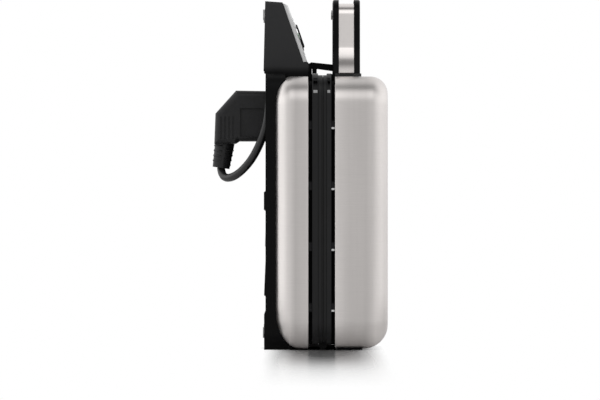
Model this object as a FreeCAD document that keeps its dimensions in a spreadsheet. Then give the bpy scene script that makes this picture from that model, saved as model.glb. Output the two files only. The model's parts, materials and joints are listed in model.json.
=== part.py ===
"""Waffle maker stored on end: a hinged pair of grid plates in brushed steel covers, with a
moulded base that holds the control box, the wound lead and its parked plug.

Frame: +Z up, the hinge end stands on Z = 0, +X from the base's underside towards the lid's top,
and Y is the width, with the object symmetric about Y = 0 apart from the lead. Millimetres."""

import FreeCAD, Part

import math
import os
import re

import Sketcher

Vector = FreeCAD.Vector
ALONG_X = Vector(1, 0, 0)
ALONG_Y = Vector(0, 1, 0)
ALONG_Z = Vector(0, 0, 1)

# Driving sizes: name, value, what it sets
SIZES = [
    ("body_width", 244, "width of both steel covers"),
    ("shell_rear", 1.2, "height of the covers' rear faces over the standing surface"),
    ("shell_front", 229.5, "height of the covers' front faces"),
    ("plan_corner", 24, "corner radius of the covers in plan"),
    ("sheet_wall", 1.2, "steel sheet of the covers"),
    ("front_round", 14.5, "edge radius of the covers at the front"),
    ("rear_round", 20, "edge radius of the covers at the rear"),
    ("parting", -2, "X of the plane where the plates meet"),
    ("base_gap", 12.2, "parting plane to the lower cover's open edge"),
    ("lid_gap", 10, "parting plane to the lid cover's open edge"),
    ("base_depth", 27.6, "depth of the lower cover"),
    ("lid_depth", 44.4, "depth of the lid cover"),
    ("fit_gap", 0.3, "clearance between neighbouring pieces"),
    ("press_gap", 0.05, "clearance of pieces that are pressed together"),
    ("seat_gap", 0.1, "clearance of a piece on its seat"),
    ("room_gap", 0.2, "clearance round a piece that is set in"),
    ("base_inset", 12, "how far the moulded base lies inside the covers' sides"),
    ("base_corner", 14, "corner radius of the moulded base in plan"),
    ("base_thick", 8.4, "lower cover's back to the base's underside"),
    ("lip_over", 2.5, "base's front lip past the covers"),
    ("lip_reach", 8, "how far the base's lips reach up the lower cover"),
    ("skid_proud", 1.2, "how far the rear skid stands proud of the underside"),
    ("skid_height", 30, "height of the rear skid"),
    ("rib_low", 46, "lower end of the ramped rib"),
    ("rib_high", 75, "upper end of the ramped rib"),
    ("pad_middle", 125, "middle height of the underside pads and tabs"),
    ("pad_length", 15, "length of the underside pads and tabs"),
    ("box_width", 144, "width of the control box"),
    ("box_proud", 1.8, "how far the box's back stands proud of the underside"),
    ("box_foot_over", 5, "start of the box's back past the covers"),
    ("box_round", 3, "edge radius of the box's sides"),
    ("box_height", 51.6, "fascia's lower edge to the box's top"),
    ("box_top_depth", 14.6, "depth of the box's top face"),
    ("box_wall", 2.5, "wall of the control box"),
    ("fascia_over", 12.3, "fascia's lower edge past the covers"),
    ("fascia_setback", 4.2, "lower cover's edge back to the fascia's lower edge"),
    ("fascia_angle", 19.1, "lean of the fascia"),
    ("fascia_length", 52.5, "length of the fascia up its slope"),
    ("fascia_inset", 3, "fascia inside the box's sides"),
    ("fascia_edge", 2.2, "thickness of the fascia at its sides"),
    ("fascia_crown", 3.7, "thickness of the fascia at its middle"),
    ("dial_along", 23, "dial's middle up the fascia"),
    ("dial_radius", 10.5, "radius of the dial"),
    ("dial_top", 5.8, "dial's top over the back of the fascia"),
    ("dial_well", 1.3, "floor of the dial's well over the back of the fascia"),
    ("bezel_ring", 1.9, "wall of the ring round the dial"),
    ("shaft_radius", 3, "radius of the dial's shaft"),
    ("lens_radius", 2.6, "radius of an indicator lens"),
    ("lens_pitch", 56, "distance between the two lenses"),
    ("lamp_length", 9, "length of an indicator lamp"),
    ("terminal_width", 22, "width of the terminal block"),
    ("terminal_deep", 9, "depth of the terminal block"),
    ("terminal_height", 10, "height of the terminal block"),
    ("thermostat_side", 28, "side of the thermostat"),
    ("thermostat_deep", 9, "depth of the thermostat"),
    ("plate_inset", 5, "how far the plates lie inside the covers' sides"),
    ("plate_rear", 4.4, "height of the plates' rear edges"),
    ("plate_lip", 2.5, "how far the plates reach past the covers at the front"),
    ("plate_gap", 0.4, "gap between the closed plates"),
    ("lower_flange", 8.8, "flange of the lower plate"),
    ("upper_flange", 6.8, "flange of the upper plate"),
    ("side_step", 1.4, "how far the plates' edges are set in next to the parting plane"),
    ("cavity_draft", 2, "taper of a cavity's walls from mouth to floor"),
    ("cavity_depth", 9.6, "depth of a waffle cavity in each plate"),
    ("cavity_floor", 2.4, "metal under a waffle cavity"),
    ("cook_inset", 22, "cooking area inside the covers' sides"),
    ("cook_rear_inset", 22.8, "cooking area inside the covers' rear"),
    ("cook_front_inset", 15.5, "cooking area inside the covers' front"),
    ("divider", 6, "width of the ridge between the waffles"),
    ("ridge_drop", 1, "how far the ridge lies under the parting plane"),
    ("post_count", 4, "grid posts along each side of a waffle"),
    ("post_base", 12.5, "side of a grid post at its foot"),
    ("post_tip", 9, "side of a grid post at its tip"),
    ("post_height", 7, "height of a grid post"),
    ("tub_margin", 6, "plate metal round the cooking area"),
    ("tub_corner", 6, "corner radius of the plates' tubs"),
    ("lip_start", 16, "start of the frames' front strips, out from the middle"),
    ("lip_end", 10, "end of the frames' front strips, inside the plates' tubs"),
    ("seat_inset", 10, "how far the frames' plate seats lie inside the covers' sides"),
    ("frame_depth", 10, "depth of the base's frame inside its cover"),
    ("lid_frame_depth", 5.6, "depth of the lid's frame inside its cover"),
    ("frame_wall", 4, "clear wall round the plate's tub in the frames"),
    ("clip_first", 35.7, "height of the first plate clip"),
    ("clip_pitch", 51, "distance between plate clips"),
    ("clip_count", 4, "plate clips along a side"),
    ("clip_length", 7, "length of a plate clip"),
    ("lug_length", 12.5, "length of the plates' side lugs"),
    ("lug_inset", 1.5, "side lugs behind the covers' front"),
    ("lug_depth", 3, "depth of the lug pockets"),
    ("lug_end", 2.4, "length of a lug's end block"),
    ("rod_radius", 3.2, "radius of the heating elements"),
    ("rod_inset", 14, "heating elements inside the cooking area's sides"),
    ("rod_rear_inset", 16, "heating elements inside the cooking area's rear"),
    ("rod_front_inset", 24, "heating elements inside the cooking area's front"),
    ("rod_bend", 14, "bend radius of the heating elements"),
    ("terminal_half", 16, "half distance between the elements' terminals"),
    ("terminal_inset", 2, "elements' terminals inside the cooking area's front"),
    ("pan_inset", 3, "reflector pans inside the plates' tubs"),
    ("pan_wall", 0.8, "sheet of the reflector pans"),
    ("pan_lip", 4, "lip of the reflector pans"),
    ("hinge_height", 4, "height of the hinge axis"),
    ("hinge_inset", 52, "distance of each hinge from the covers' sides"),
    ("hinge_half", 18, "half width of a hinge"),
    ("knuckle_radius", 3.6, "radius of the hinge knuckles"),
    ("pin_radius", 1.9, "radius of the hinge pins"),
    ("pin_play", 0.05, "radial play of the pins that turn"),
    ("leaf_thick", 1.5, "sheet of the hinge leaves"),
    ("leaf_reach", 22, "reach of the hinge leaves from the axis"),
    ("foot_length", 22, "length of the lid's standing feet"),
    ("foot_width", 40, "width of the lid's standing feet"),
    ("foot_inset", 38, "distance of the standing feet from the covers' sides"),
    ("pad_radius", 4.5, "radius of the base's foot pads"),
    ("pad_sunk", 2, "how deep the foot pads are let in"),
    ("pad_proud", 1, "how far the foot pads stand proud of the rear skid"),
    ("rear_pad_height", 14.5, "height of the rear foot pads"),
    ("pad_inset", 30, "distance of the rear foot pads and base screws from the covers' sides"),
    ("front_pad_inset", 11.4, "front foot pads under the box's top"),
    ("box_pad_inset", 12, "front foot pads inside the box's sides"),
    ("handle_half", 60, "half width of the handle"),
    ("handle_flare", 8, "how far the handle's feet splay out"),
    ("waist_round", 25, "radius where the handle's feet start to splay"),
    ("waist_over", 22.5, "where the handle's feet start to splay, past the covers"),
    ("handle_over", 65.5, "handle's top past the covers"),
    ("handle_bar", 16, "width of the handle's bar in plan"),
    ("handle_corner", 14, "corner radius of the handle"),
    ("handle_start", 1.6, "lid's open edge back to the handle's lower face"),
    ("frame_layer", 5.1, "thickness of the handle's black layers"),
    ("band_layer", 12.8, "width of the handle's steel band"),
    ("band_inset", 3.2, "how far the band lies inside the black layers"),
    ("band_wall", 1.5, "sheet of the handle's band"),
    ("handle_edge", 1.6, "edge radius of the handle's black layers"),
    ("collar_height", 3, "height of the handle's collars"),
    ("bumper_radius", 3.2, "radius of the handle's bumpers"),
    ("bumper_proud", 1.2, "how far the bumpers stand proud of the handle"),
    ("screw_radius", 2, "radius of the screws"),
    ("screw_head", 3.6, "radius of the screw heads"),
    ("head_height", 2.4, "height of the screw heads"),
    ("base_shank", 14, "length of the base screws' shanks"),
    ("handle_shank", 15, "length of the handle screws' shanks"),
    ("base_screw_low", 62, "height of the lower base screws"),
    ("base_screw_high", 178, "height of the upper base screws"),
    ("cheek_proud", 1, "how far the box's cheeks beside the latch reach past its front"),
    ("cheek_width", 18, "width of the box's cheeks beside the latch"),
    ("latch_half", 11, "half width of the latch"),
    ("latch_pivot_over", 2.5, "latch pivot past the lid cover's open edge"),
    ("latch_over", 8.1, "latch pivot past the covers"),
    ("latch_thick", 5.6, "thickness of the latch bar"),
    ("hook_thick", 2.4, "thickness of the latch hook"),
    ("catch_under", 0.8, "catch's top under the latch pivot"),
    ("catch_thick", 3.9, "thickness of the catch"),
    ("catch_floor", 2.2, "thickness of the catch's foot"),
    ("latch_pin", 1.5, "radius of the latch pin"),
    ("ear_thick", 3, "thickness of the latch bracket's ears"),
    ("cord_radius", 3.4, "radius of the lead"),
    ("lap_half", 54, "half width of the lead's inner lap"),
    ("lap_pitch", 9, "distance between the lead's laps"),
    ("lap_bend", 40, "bend radius of the laps"),
    ("lap_low", 40, "height of the laps' lower run"),
    ("lap_under", 34.4, "inner lap's upper run under the box's top"),
    ("cord_start", 112, "height where the lead leaves its bush"),
    ("recess_play", 1.6, "room beside the lead in its recess"),
    ("island_play", 5, "room between the inner lap and the island"),
    ("bush_length", 26, "length of the lead's bush"),
    ("bush_root", 8, "depth of the bush's block below the bush"),
    ("bush_radius", 4.3, "radius of the lead's bush at its foot"),
    ("tab_reach", 10, "reach of the tabs over the lead"),
    ("tab_thick", 1.1, "thickness of the tabs over the lead"),
    ("park_side", -22, "Y of the parked plug"),
    ("park_height", 196.5, "height of the parked plug's pins"),
    ("pin_pitch", 19, "distance between the plug's pins"),
    ("plug_pin", 2.4, "radius of the plug's pins"),
    ("plug_pin_length", 19, "length of the plug's pins"),
    ("plug_half", 18.5, "half thickness of the plug"),
    ("plug_deep", 42.4, "depth of the plug"),
    ("plug_low", 175.4, "height of the plug's lower face"),
    ("plug_high", 218, "height of the plug's upper face"),
    ("plug_chamfer", 17.4, "depth of the plug's sloped corner"),
    ("plug_slope", 19, "height of the plug's sloped corner"),
    ("sleeve_wide", 8.6, "sleeve radius at the plug"),
    ("sleeve_slim", 7.2, "sleeve radius at the lead"),
]
NAMES = {name for name, value, note in SIZES}

# Sizes that follow from the driving sizes
DERIVED = {
    "plate_half": "(body_width / 2 - plate_inset)",
    "plate_front": "(shell_front + plate_lip)",
    "cook_half": "(body_width / 2 - cook_inset)",
    "cook_rear": "(shell_rear + cook_rear_inset)",
    "cook_front": "(shell_front - cook_front_inset)",
    "base_width": "(body_width - 2 * base_inset)",
    "lip_front": "(shell_front + lip_over)",
    "box_foot": "(shell_front + box_foot_over)",
    "fascia_foot": "(shell_front + fascia_over)",
    "box_top": "(shell_front + fascia_over + box_height)",
    "fascia_width": "(box_width - 2 * fascia_inset)",
    "lug_high": "(shell_front - lug_inset)",
    "lug_low": "(shell_front - lug_inset - lug_length)",
    "rod_half": "(body_width / 2 - cook_inset - rod_inset)",
    "rod_rear": "(shell_rear + cook_rear_inset + rod_rear_inset)",
    "rod_front": "(shell_front - cook_front_inset - rod_front_inset)",
    "terminal_end": "(shell_front - cook_front_inset - terminal_inset)",
    "pan_half": "(body_width / 2 - cook_inset + tub_margin - pan_inset)",
    "hinge_side": "(body_width / 2 - hinge_inset)",
    "foot_side": "(body_width / 2 - foot_inset)",
    "pad_side": "(body_width / 2 - pad_inset)",
    "box_pad_side": "(box_width / 2 - box_pad_inset)",
    "front_pad_height": "(shell_front + fascia_over + box_height - front_pad_inset)",
    "handle_waist": "(shell_front + waist_over)",
    "handle_top": "(shell_front + handle_over)",
    "latch_height": "(shell_front + latch_over)",
    "catch_top": "(shell_front + latch_over - catch_under)",
    "lap_high": "(shell_front + fascia_over + box_height - lap_under)",
}

doc = FreeCAD.newDocument("WaffleMaker")
sheet = doc.addObject("Spreadsheet::Sheet", "Sizes")
for row, (name, value, note) in enumerate(SIZES, 1):
    sheet.set(f"A{row}", note)
    sheet.set(f"B{row}", str(value))
    sheet.setAlias(f"B{row}", name)
doc.recompute()

subparts = []


def expression(words):
    """A size written with the sheet's names, as an expression on the sheet."""
    spelled = re.sub(r"[a-z_]+", lambda found: DERIVED.get(found[0], found[0]), str(words))
    return re.sub(r"[a-z_]+", lambda found: "Sizes." + found[0] if found[0] in NAMES else found[0], spelled)


def number(words):
    """The value of such a size now."""
    return float(sheet.evalExpression(expression(words)))


def bind(thing, **sizes):
    """Ties properties of a document object to sizes: a double underscore stands for a dot."""
    for path, words in sizes.items():
        thing.setExpression(path.replace("__", "."), expression(words))
    return thing


def keep(thing, label):
    """Names a finished sub-part, which goes to a file of its own."""
    thing.Label = label
    subparts.append(thing)
    return thing


# Building blocks

def outline_body(name, plane, points, start, length, symmetric=False):
    """A body padded from a closed outline on an origin plane, each corner tied to its sizes."""
    body = doc.addObject("PartDesign::Body", name)
    sketch = body.newObject("Sketcher::SketchObject", name + "_outline")
    support = [feature for feature in body.Origin.OriginFeatures if feature.Role == plane][0]
    sketch.AttachmentSupport = [(support, "")]
    sketch.MapMode = "FlatFace"
    bind(sketch, AttachmentOffset__Base__z=start)
    corners = [Vector(number(across), number(up), 0) for across, up in points]
    count = len(points)
    for i in range(count):
        sketch.addGeometry(Part.LineSegment(corners[i], corners[(i + 1) % count]), False)
    for i in range(count):
        sketch.addConstraint(Sketcher.Constraint("Coincident", i, 2, (i + 1) % count, 1))
    for i, (across, up) in enumerate(points):
        for kind, words, now in (("DistanceX", across, corners[i].x), ("DistanceY", up, corners[i].y)):
            index = sketch.addConstraint(Sketcher.Constraint(kind, -1, 1, i, 1, now))
            sketch.setExpression(f"Constraints[{index}]", expression(words))
    pad = body.newObject("PartDesign::Pad", name + "_pad")
    pad.Profile = sketch
    if symmetric:
        pad.SideType = "Symmetric"
    bind(pad, Length=length)
    doc.recompute()
    return body


def plan_block(name, half, low, high, start, depth, corner=None):
    """A block with its outline in plan, from start along +X, with rounded upright corners."""
    points = [(f"-({half})", low), (half, low), (half, high), (f"-({half})", high)]
    body = outline_body(name, "YZ_Plane", points, start, depth)
    if corner:
        round_edges(body, corner, lambda edge: runs_along(edge, ALONG_X))
    return body


def side_slab(name, points, width):
    """A slab with its outline seen from the side, symmetric about Y = 0."""
    return outline_body(name, "XZ_Plane", points, "0", width, symmetric=True)


def runs_along(edge, direction):
    straight = edge.Curve.TypeId == "Part::GeomLine"
    return straight and abs(edge.tangentAt(edge.FirstParameter).dot(direction)) > 0.999


def round_edges(body, radius, chosen):
    """Rounds the chosen edges of a body."""
    base = body.Tip
    names = [f"Edge{i}" for i, edge in enumerate(base.Shape.Edges, 1) if chosen(edge)]
    fillet = body.newObject("PartDesign::Fillet", body.Name + "_round")
    fillet.Base = (base, names)
    bind(fillet, Radius=radius)
    doc.recompute()
    return body


def at_x(edge, x):
    box = edge.BoundBox
    return abs(box.XMin - x) < 1e-4 and abs(box.XMax - x) < 1e-4


def dished_block(name, half, low, high, start, depth, corner, front, rear, outer):
    """A plan block whose outer edge is rounded, with a larger radius at the rear than at the front."""
    body = plan_block(name, half, low, high, start, depth, corner)
    rounded = doc.addObject("Part::Fillet", name + "_dish")
    rounded.Base = body
    middle = (number(low) + number(high)) / 2
    radii = []
    for i, edge in enumerate(body.Shape.Edges, 1):
        if at_x(edge, number(outer)):
            ends = [edge.valueAt(end).z for end in (edge.FirstParameter, edge.LastParameter)]
            radii.append((i, *[number(front) if z > middle else number(rear) for z in ends]))
    rounded.Edges = radii
    doc.recompute()
    return rounded


def box(name, low, high):
    """A box between two corners, each given as three sizes."""
    made = doc.addObject("Part::Box", name)
    bind(made, Length=f"({high[0]}) - ({low[0]})", Width=f"({high[1]}) - ({low[1]})",
         Height=f"({high[2]}) - ({low[2]})")
    bind(made, Placement__Base__x=low[0], Placement__Base__y=low[1], Placement__Base__z=low[2])
    return made


def rod(name, start, length, radius, direction=ALONG_X):
    """A cylinder from a point along X, Y or Z."""
    made = doc.addObject("Part::Cylinder", name)
    bind(made, Radius=radius, Height=length)
    made.Placement = FreeCAD.Placement(Vector(), FreeCAD.Rotation(ALONG_Z, direction))
    bind(made, Placement__Base__x=start[0], Placement__Base__y=start[1], Placement__Base__z=start[2])
    return made


def fuse(name, *shapes):
    made = doc.addObject("Part::MultiFuse", name)
    made.Shapes = list(shapes)
    made.Refine = True
    doc.recompute()
    return made


def cut(name, base, *tools):
    made = doc.addObject("Part::Cut", name)
    made.Base = base
    made.Tool = tools[0] if len(tools) == 1 else fuse(name + "_tools", *tools)
    made.Refine = True
    doc.recompute()
    return made


def group(name, *shapes):
    """Separate solids of one node."""
    made = doc.addObject("Part::Compound", name)
    made.Links = list(shapes)
    doc.recompute()
    return made


def shaped(name, shape):
    """A sub-part whose shape is worked out from the sheet's sizes."""
    made = doc.addObject("Part::Feature", name)
    made.Shape = shape
    return made


def on_both_sides(make):
    """Makes a piece at +Y and at -Y."""
    return [make(side) for side in (1, -1)]


# Places along X that follow from the sizes
BASE_EDGE = "(parting - base_gap)"
LID_EDGE = "(parting + lid_gap)"
LOWER_BACK = f"({BASE_EDGE} - base_depth)"
LID_BACK = f"({LID_EDGE} + lid_depth)"
UNDERSIDE = f"({LOWER_BACK} - base_thick)"
SKID = f"({UNDERSIDE} - skid_proud)"
FEET = f"({SKID} - pad_proud)"
HALF = "(body_width / 2)"
LOWER_FACE = "(parting - plate_gap / 2)"
UPPER_FACE = "(parting + plate_gap / 2)"
LOWER_SEAT = f"({LOWER_FACE} - lower_flange - seat_gap)"
UPPER_SEAT = f"({UPPER_FACE} + upper_flange + seat_gap)"


# Steel covers

def steel_cover(name, start, depth, outer, inner_start, inner_depth, inner_outer):
    """A drawn steel cover: a dished block less the same block one sheet smaller, open at the parting side."""
    form = dished_block(name + "_form", HALF, "shell_rear", "shell_front", start, depth, "plan_corner",
                        "front_round", "rear_round", outer)
    hollow = dished_block(name + "_hollow", f"{HALF} - sheet_wall", "shell_rear + sheet_wall",
                          "shell_front - sheet_wall", inner_start, inner_depth, "plan_corner - sheet_wall",
                          "front_round - sheet_wall", "rear_round - sheet_wall", inner_outer)
    return cut(name + "_sheet", form, hollow)


RECESS_FLOOR = f"({UNDERSIDE} + 2 * cord_radius + seat_gap)"
CORD_LINE = f"({UNDERSIDE} + cord_radius - seat_gap)"
WINDOW = {"half": "(lap_half - 12)", "low": "(lap_low + 30)", "high": "(shell_front - front_round - 6)"}

lower_sheet = steel_cover("lower", LOWER_BACK, "base_depth", LOWER_BACK, f"{LOWER_BACK} + sheet_wall",
                          "base_depth", f"{LOWER_BACK} + sheet_wall")
lower_window = plan_block("lower_window", WINDOW["half"], WINDOW["low"], WINDOW["high"],
                          f"{LOWER_BACK} - 5", "10", "8")
BASE_SCREWS = [(side, height) for side in ("pad_side", "-pad_side")
               for height in ("base_screw_low", "base_screw_high")]
screw_holes = [rod("cover_screw_hole", (f"{LOWER_BACK} - 1", side, height), "4", "screw_radius + seat_gap")
               for side, height in BASE_SCREWS]
keep(cut("lower_cover", lower_sheet, lower_window, *screw_holes), "lower_shell")

LEG_MIDDLE = "(handle_half - handle_bar / 2 + handle_flare / 2)"
HANDLE_FACE = f"({LID_EDGE} - handle_start)"
BAND_START = f"({HANDLE_FACE} + frame_layer)"
BAND_END = f"({BAND_START} + band_layer)"
HANDLE_MIDDLE = f"({BAND_START} + band_layer / 2)"
lid_sheet = steel_cover("lid", LID_EDGE, "lid_depth", LID_BACK, f"{LID_EDGE} - sheet_wall", "lid_depth",
                        f"{LID_BACK} - sheet_wall")
handle_holes = on_both_sides(lambda side: rod("handle_hole",
                                              (HANDLE_MIDDLE, f"{side} * {LEG_MIDDLE}",
                                               "shell_front - 3"), "6", "screw_radius + seat_gap", ALONG_Z))
keep(cut("lid_cover", lid_sheet, *handle_holes), "upper_shell")


# Frames that carry the plates inside the covers

TUB = {"half": "(cook_half + tub_margin)", "low": "(cook_rear - tub_margin)",
       "high": "(cook_front + tub_margin)"}
HINGE_NOTCH = ("hinge_side - hinge_half - 1", "hinge_side + hinge_half + 1")


def hinge_notches(name, top):
    """Clear room for the two hinges at the rear."""
    def notch(side):
        low, high = HINGE_NOTCH if side > 0 else (f"-({HINGE_NOTCH[1]})", f"-({HINGE_NOTCH[0]})")
        return box(name, (f"{LOWER_BACK} + 6", low, "0"), (f"{LID_BACK} - 6", high, top))
    return on_both_sides(notch)


def front_lips(name, low_x, high_x):
    """Two strips that close the front between a cover and its plate, clear of the latch."""
    def lip(side):
        inner, outer = f"{side} * lip_start", f"{side} * ({TUB['half']} - lip_end)"
        ends = (inner, outer) if side > 0 else (outer, inner)
        return box(name, (low_x, ends[0], f"{TUB['high']} + fit_gap + 2"),
                   (high_x, ends[1], "plate_front - fit_gap"))
    return on_both_sides(lip)


def plate_frame(name, start, depth, step_start, step_depth, lips):
    """A moulded ring inside a cover, with a narrower step that seats the plate past the cover's edge."""
    inset = "(sheet_wall + fit_gap)"
    ring = plan_block(name + "_ring", f"{HALF} - {inset}", f"shell_rear + {inset}",
                      f"shell_front - {inset}", start, depth, f"plan_corner - {inset}")
    step = plan_block(name + "_step", f"{HALF} - seat_inset", f"shell_rear + {inset} + 2",
                      f"shell_front - {inset} - 2", step_start, step_depth, "plan_corner - seat_inset")
    opening = plan_block(name + "_opening", f"{TUB['half']} + fit_gap", f"{TUB['low']} - fit_gap",
                         f"{TUB['high']} + fit_gap", f"{start} - {HALF}", "body_width",
                         "tub_corner + fit_gap")
    return cut(name, fuse(name + "_blank", ring, step, *front_lips(name + "_lip", *lips)), opening,
               *hinge_notches(name + "_notch", "plate_rear + seat_gap"))


keep(plate_frame("base_frame", f"{BASE_EDGE} - room_gap - frame_depth", "frame_depth",
                 f"{BASE_EDGE} - fit_gap", f"{LOWER_SEAT} - {BASE_EDGE} + fit_gap",
                 (f"{BASE_EDGE} + seat_gap", LOWER_SEAT)), "lower_frame")
keep(plate_frame("lid_frame", f"{LID_EDGE} + room_gap", "lid_frame_depth", UPPER_SEAT,
                 f"{LID_EDGE} - {UPPER_SEAT} + fit_gap",
                 (UPPER_SEAT, f"{LID_EDGE} - seat_gap")), "upper_frame")


# Grid plates

def slab(low, high):
    """A plain box shape between two corners."""
    size = high - low
    return Part.makeBox(size.x, size.y, size.z, low)


def tapered(side, height, foot_x, tip_x, foot_half, tip_half):
    """A four-sided frustum along X about a point of the plate: half sizes are pairs across and up."""
    wires = []
    for x, (across, up) in ((foot_x, foot_half), (tip_x, tip_half)):
        signs = ((-1, -1), (1, -1), (1, 1), (-1, 1))
        corners = [Vector(x, side + s * across, height + t * up) for s, t in signs]
        wires.append(Part.makePolygon(corners + corners[:1]))
    return Part.makeLoft(wires, True, True)


def plate_outline(x_one, x_two, inset):
    """A block with the plates' rounded outline, set in evenly."""
    half = number("plate_half") - inset
    rear = number("plate_rear") + inset
    front = number("plate_front") - inset
    blank = slab(Vector(min(x_one, x_two), -half, rear), Vector(max(x_one, x_two), half, front))
    return blank.makeFillet(number("plan_corner - 6") - inset,
                            [edge for edge in blank.Edges if runs_along(edge, ALONG_X)])


def lug_reach(face_x, inward, flange):
    """Where a plate's side edge is stepped, and the ends of the lug pockets along X."""
    step_x = face_x + inward * number(flange) * 0.45
    seat_x = face_x + inward * number(flange)
    return step_x, sorted((step_x + inward * 0.4, seat_x - inward * 0.9))


def grid_plate(face_x, inward, flange):
    """A cast plate: a flange, a tub with four cavities, and rows of posts. Inward is into the metal."""
    floor_x = face_x + inward * number("cavity_depth")
    back_x = floor_x + inward * number("cavity_floor")
    seat_x = face_x + inward * number(flange)
    step_x, lug_x = lug_reach(face_x, inward, flange)
    wide = number(HALF)
    front = number("plate_front")

    def block(x_one, x_two, across, low, high):
        return slab(Vector(min(x_one, x_two), -across, low), Vector(max(x_one, x_two), across, high))

    # a stepped side edge: the half next to the parting plane is set in
    flange_block = plate_outline(step_x, seat_x,
                                 0).fuse(plate_outline(face_x, step_x + inward * 0.5, number("side_step")))
    tub = block(face_x + inward * 0.5, back_x, number(TUB["half"]), number(TUB["low"]), number(TUB["high"]))
    tub = tub.makeFillet(number("tub_corner"), [edge for edge in tub.Edges if runs_along(edge, ALONG_X)])
    solid = flange_block.fuse(tub)

    across = (number("cook_half") - number("divider") / 2) / 2
    up = (number("cook_front") - number("cook_rear") - number("divider")) / 4
    middle = (number("cook_front") + number("cook_rear")) / 2
    draft = number("cavity_draft")
    posts, cavities = [], []
    count = int(number("post_count"))
    for side in (-1, 1):
        for end in (-1, 1):
            centre_y = side * (number("divider") / 2 + across)
            centre_z = middle + end * (number("divider") / 2 + up)
            mouth, over = draft / number("cavity_depth"), 1.0
            cavities.append(tapered(centre_y, centre_z, face_x - inward * over, floor_x,
                                    (across + mouth * over, up + mouth * over),
                                    (across - draft, up - draft)))
            for i in range(count):
                for j in range(count):
                    post_y = centre_y + (i - (count - 1) / 2) * 2 * across / (count + 0.25)
                    post_z = centre_z + (j - (count - 1) / 2) * 2 * up / (count + 0.25)
                    tip_x = floor_x - inward * number("post_height")
                    foot, tip = number("post_base / 2"), number("post_tip / 2")
                    posts.append(tapered(post_y, post_z, floor_x + inward * 0.6, tip_x, (foot, foot),
                                         (tip, tip)))
    # the ridges between the waffles stop short of the parting plane
    ridge_x = face_x + inward * number("ridge_drop")
    ridge_half, clear_x = number("divider"), face_x - inward * 2
    ridge_room = block(clear_x, ridge_x, ridge_half, number("cook_rear") + 4,
                       number("cook_front") - 4).fuse(block(clear_x, ridge_x, number("cook_half") - 4,
                                                            middle - ridge_half, middle + ridge_half))
    solid = solid.cut(cavities + [ridge_room]).fuse(posts)

    notch_low, notch_high = number(HINGE_NOTCH[0]), number(HINGE_NOTCH[1])
    notch_top = number("hinge_height + knuckle_radius + 0.6")
    pockets = []
    for side in (1, -1):
        ends = sorted((side * notch_low, side * notch_high))
        pockets.append(slab(Vector(-wide, ends[0], 0), Vector(wide, ends[1], notch_top)))
    lug_band = block(lug_x[0], lug_x[1], wide, number("lug_low"), number("lug_high"))
    pockets.append(lug_band.cut(plate_outline(-wide, wide, number("lug_depth"))))
    latch_room = number("latch_half + 3.6")
    pockets.append(slab(Vector(-wide, -latch_room, number("shell_front + seat_gap")),
                        Vector(wide, latch_room, front + 5)))
    return solid.cut(pockets).removeSplitter()


keep(shaped("lower_plate", grid_plate(number(LOWER_FACE), -1, "lower_flange")), "lower_grid_plate")
keep(shaped("upper_plate", grid_plate(number(UPPER_FACE), 1, "upper_flange")), "upper_grid_plate")


def plate_clips(name, seat, edge):
    """Spring clips along both sides, between a frame's step and the plate's flange."""
    low_x, high_x = sorted((number(seat), number(edge)))
    inner = number(f"{HALF} - seat_inset") + 0.05
    outer = number("plate_half") - 0.8
    length = number("clip_length")
    solids = []
    for side in (1, -1):
        for i in range(int(number("clip_count"))):
            foot = number("clip_first") + i * number("clip_pitch") - length / 2
            leaf = slab(Vector(low_x + 0.1, inner, foot), Vector(high_x - 0.3, inner + 0.9, foot + length))
            tongue = slab(Vector(low_x + 0.1, inner, foot), Vector(high_x - 0.3, outer, foot + 1.6))
            clip = leaf.fuse(tongue).removeSplitter()
            solids.append(clip if side > 0 else clip.mirror(Vector(), ALONG_Y))
    return shaped(name, Part.makeCompound(solids))


keep(plate_clips("lower_clips", LOWER_SEAT, f"{BASE_EDGE} - seat_gap"), "lower_plate_clips")
keep(plate_clips("upper_clips", UPPER_SEAT, f"{LID_EDGE} + seat_gap"), "upper_plate_clips")


def plate_lugs(name, face_x, inward, flange):
    """End blocks of the side lugs, let into the plates' pockets."""
    step_x, lug_x = lug_reach(face_x, inward, flange)
    wide = number(HALF)
    ring = plate_outline(lug_x[0] + 0.05, lug_x[1] - 0.05,
                         0.3).cut(plate_outline(-wide, wide, number("lug_depth") - 0.05))
    solids = []
    for side in (1, -1):
        across = sorted((side * wide / 4, side * wide))
        for low in (number("lug_low") + 0.05, number("lug_high - lug_end") - 0.05):
            solids += ring.common(slab(Vector(-wide, across[0], low),
                                       Vector(wide, across[1], low + number("lug_end")))).Solids
    return shaped(name, Part.makeCompound(solids))


keep(plate_lugs("lower_lugs", number(LOWER_FACE), -1, "lower_flange"), "lower_plate_lugs")
keep(plate_lugs("upper_lugs", number(UPPER_FACE), 1, "upper_flange"), "upper_plate_lugs")


# Heating elements and reflector pans

def rounded_path(points, radii):
    """A wire of straight runs joined by tangent arcs."""
    edges, last = [], points[0]
    for before, corner, after, radius in zip(points, points[1:], points[2:], radii):
        back, ahead = (before - corner).normalize(), (after - corner).normalize()
        half_turn = (math.pi - back.getAngle(ahead)) / 2
        reach = radius * math.tan(half_turn)
        start, end = corner + back * reach, corner + ahead * reach
        bisector = (back + ahead).normalize()
        middle = corner + bisector * (radius / math.cos(half_turn) - radius)
        if (start - last).Length > 1e-5:
            edges.append(Part.LineSegment(last, start).toShape())
        edges.append(Part.Arc(start, middle, end).toShape())
        last = end
    edges.append(Part.LineSegment(last, points[-1]).toShape())
    return Part.Wire(edges)


def tube(path, radius):
    """A round bar along a wire."""
    start = path.Edges[0]
    profile = Part.Wire(Part.makeCircle(radius, start.valueAt(start.FirstParameter),
                                        start.tangentAt(start.FirstParameter)))
    return path.makePipeShell([profile], True, False)


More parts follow.
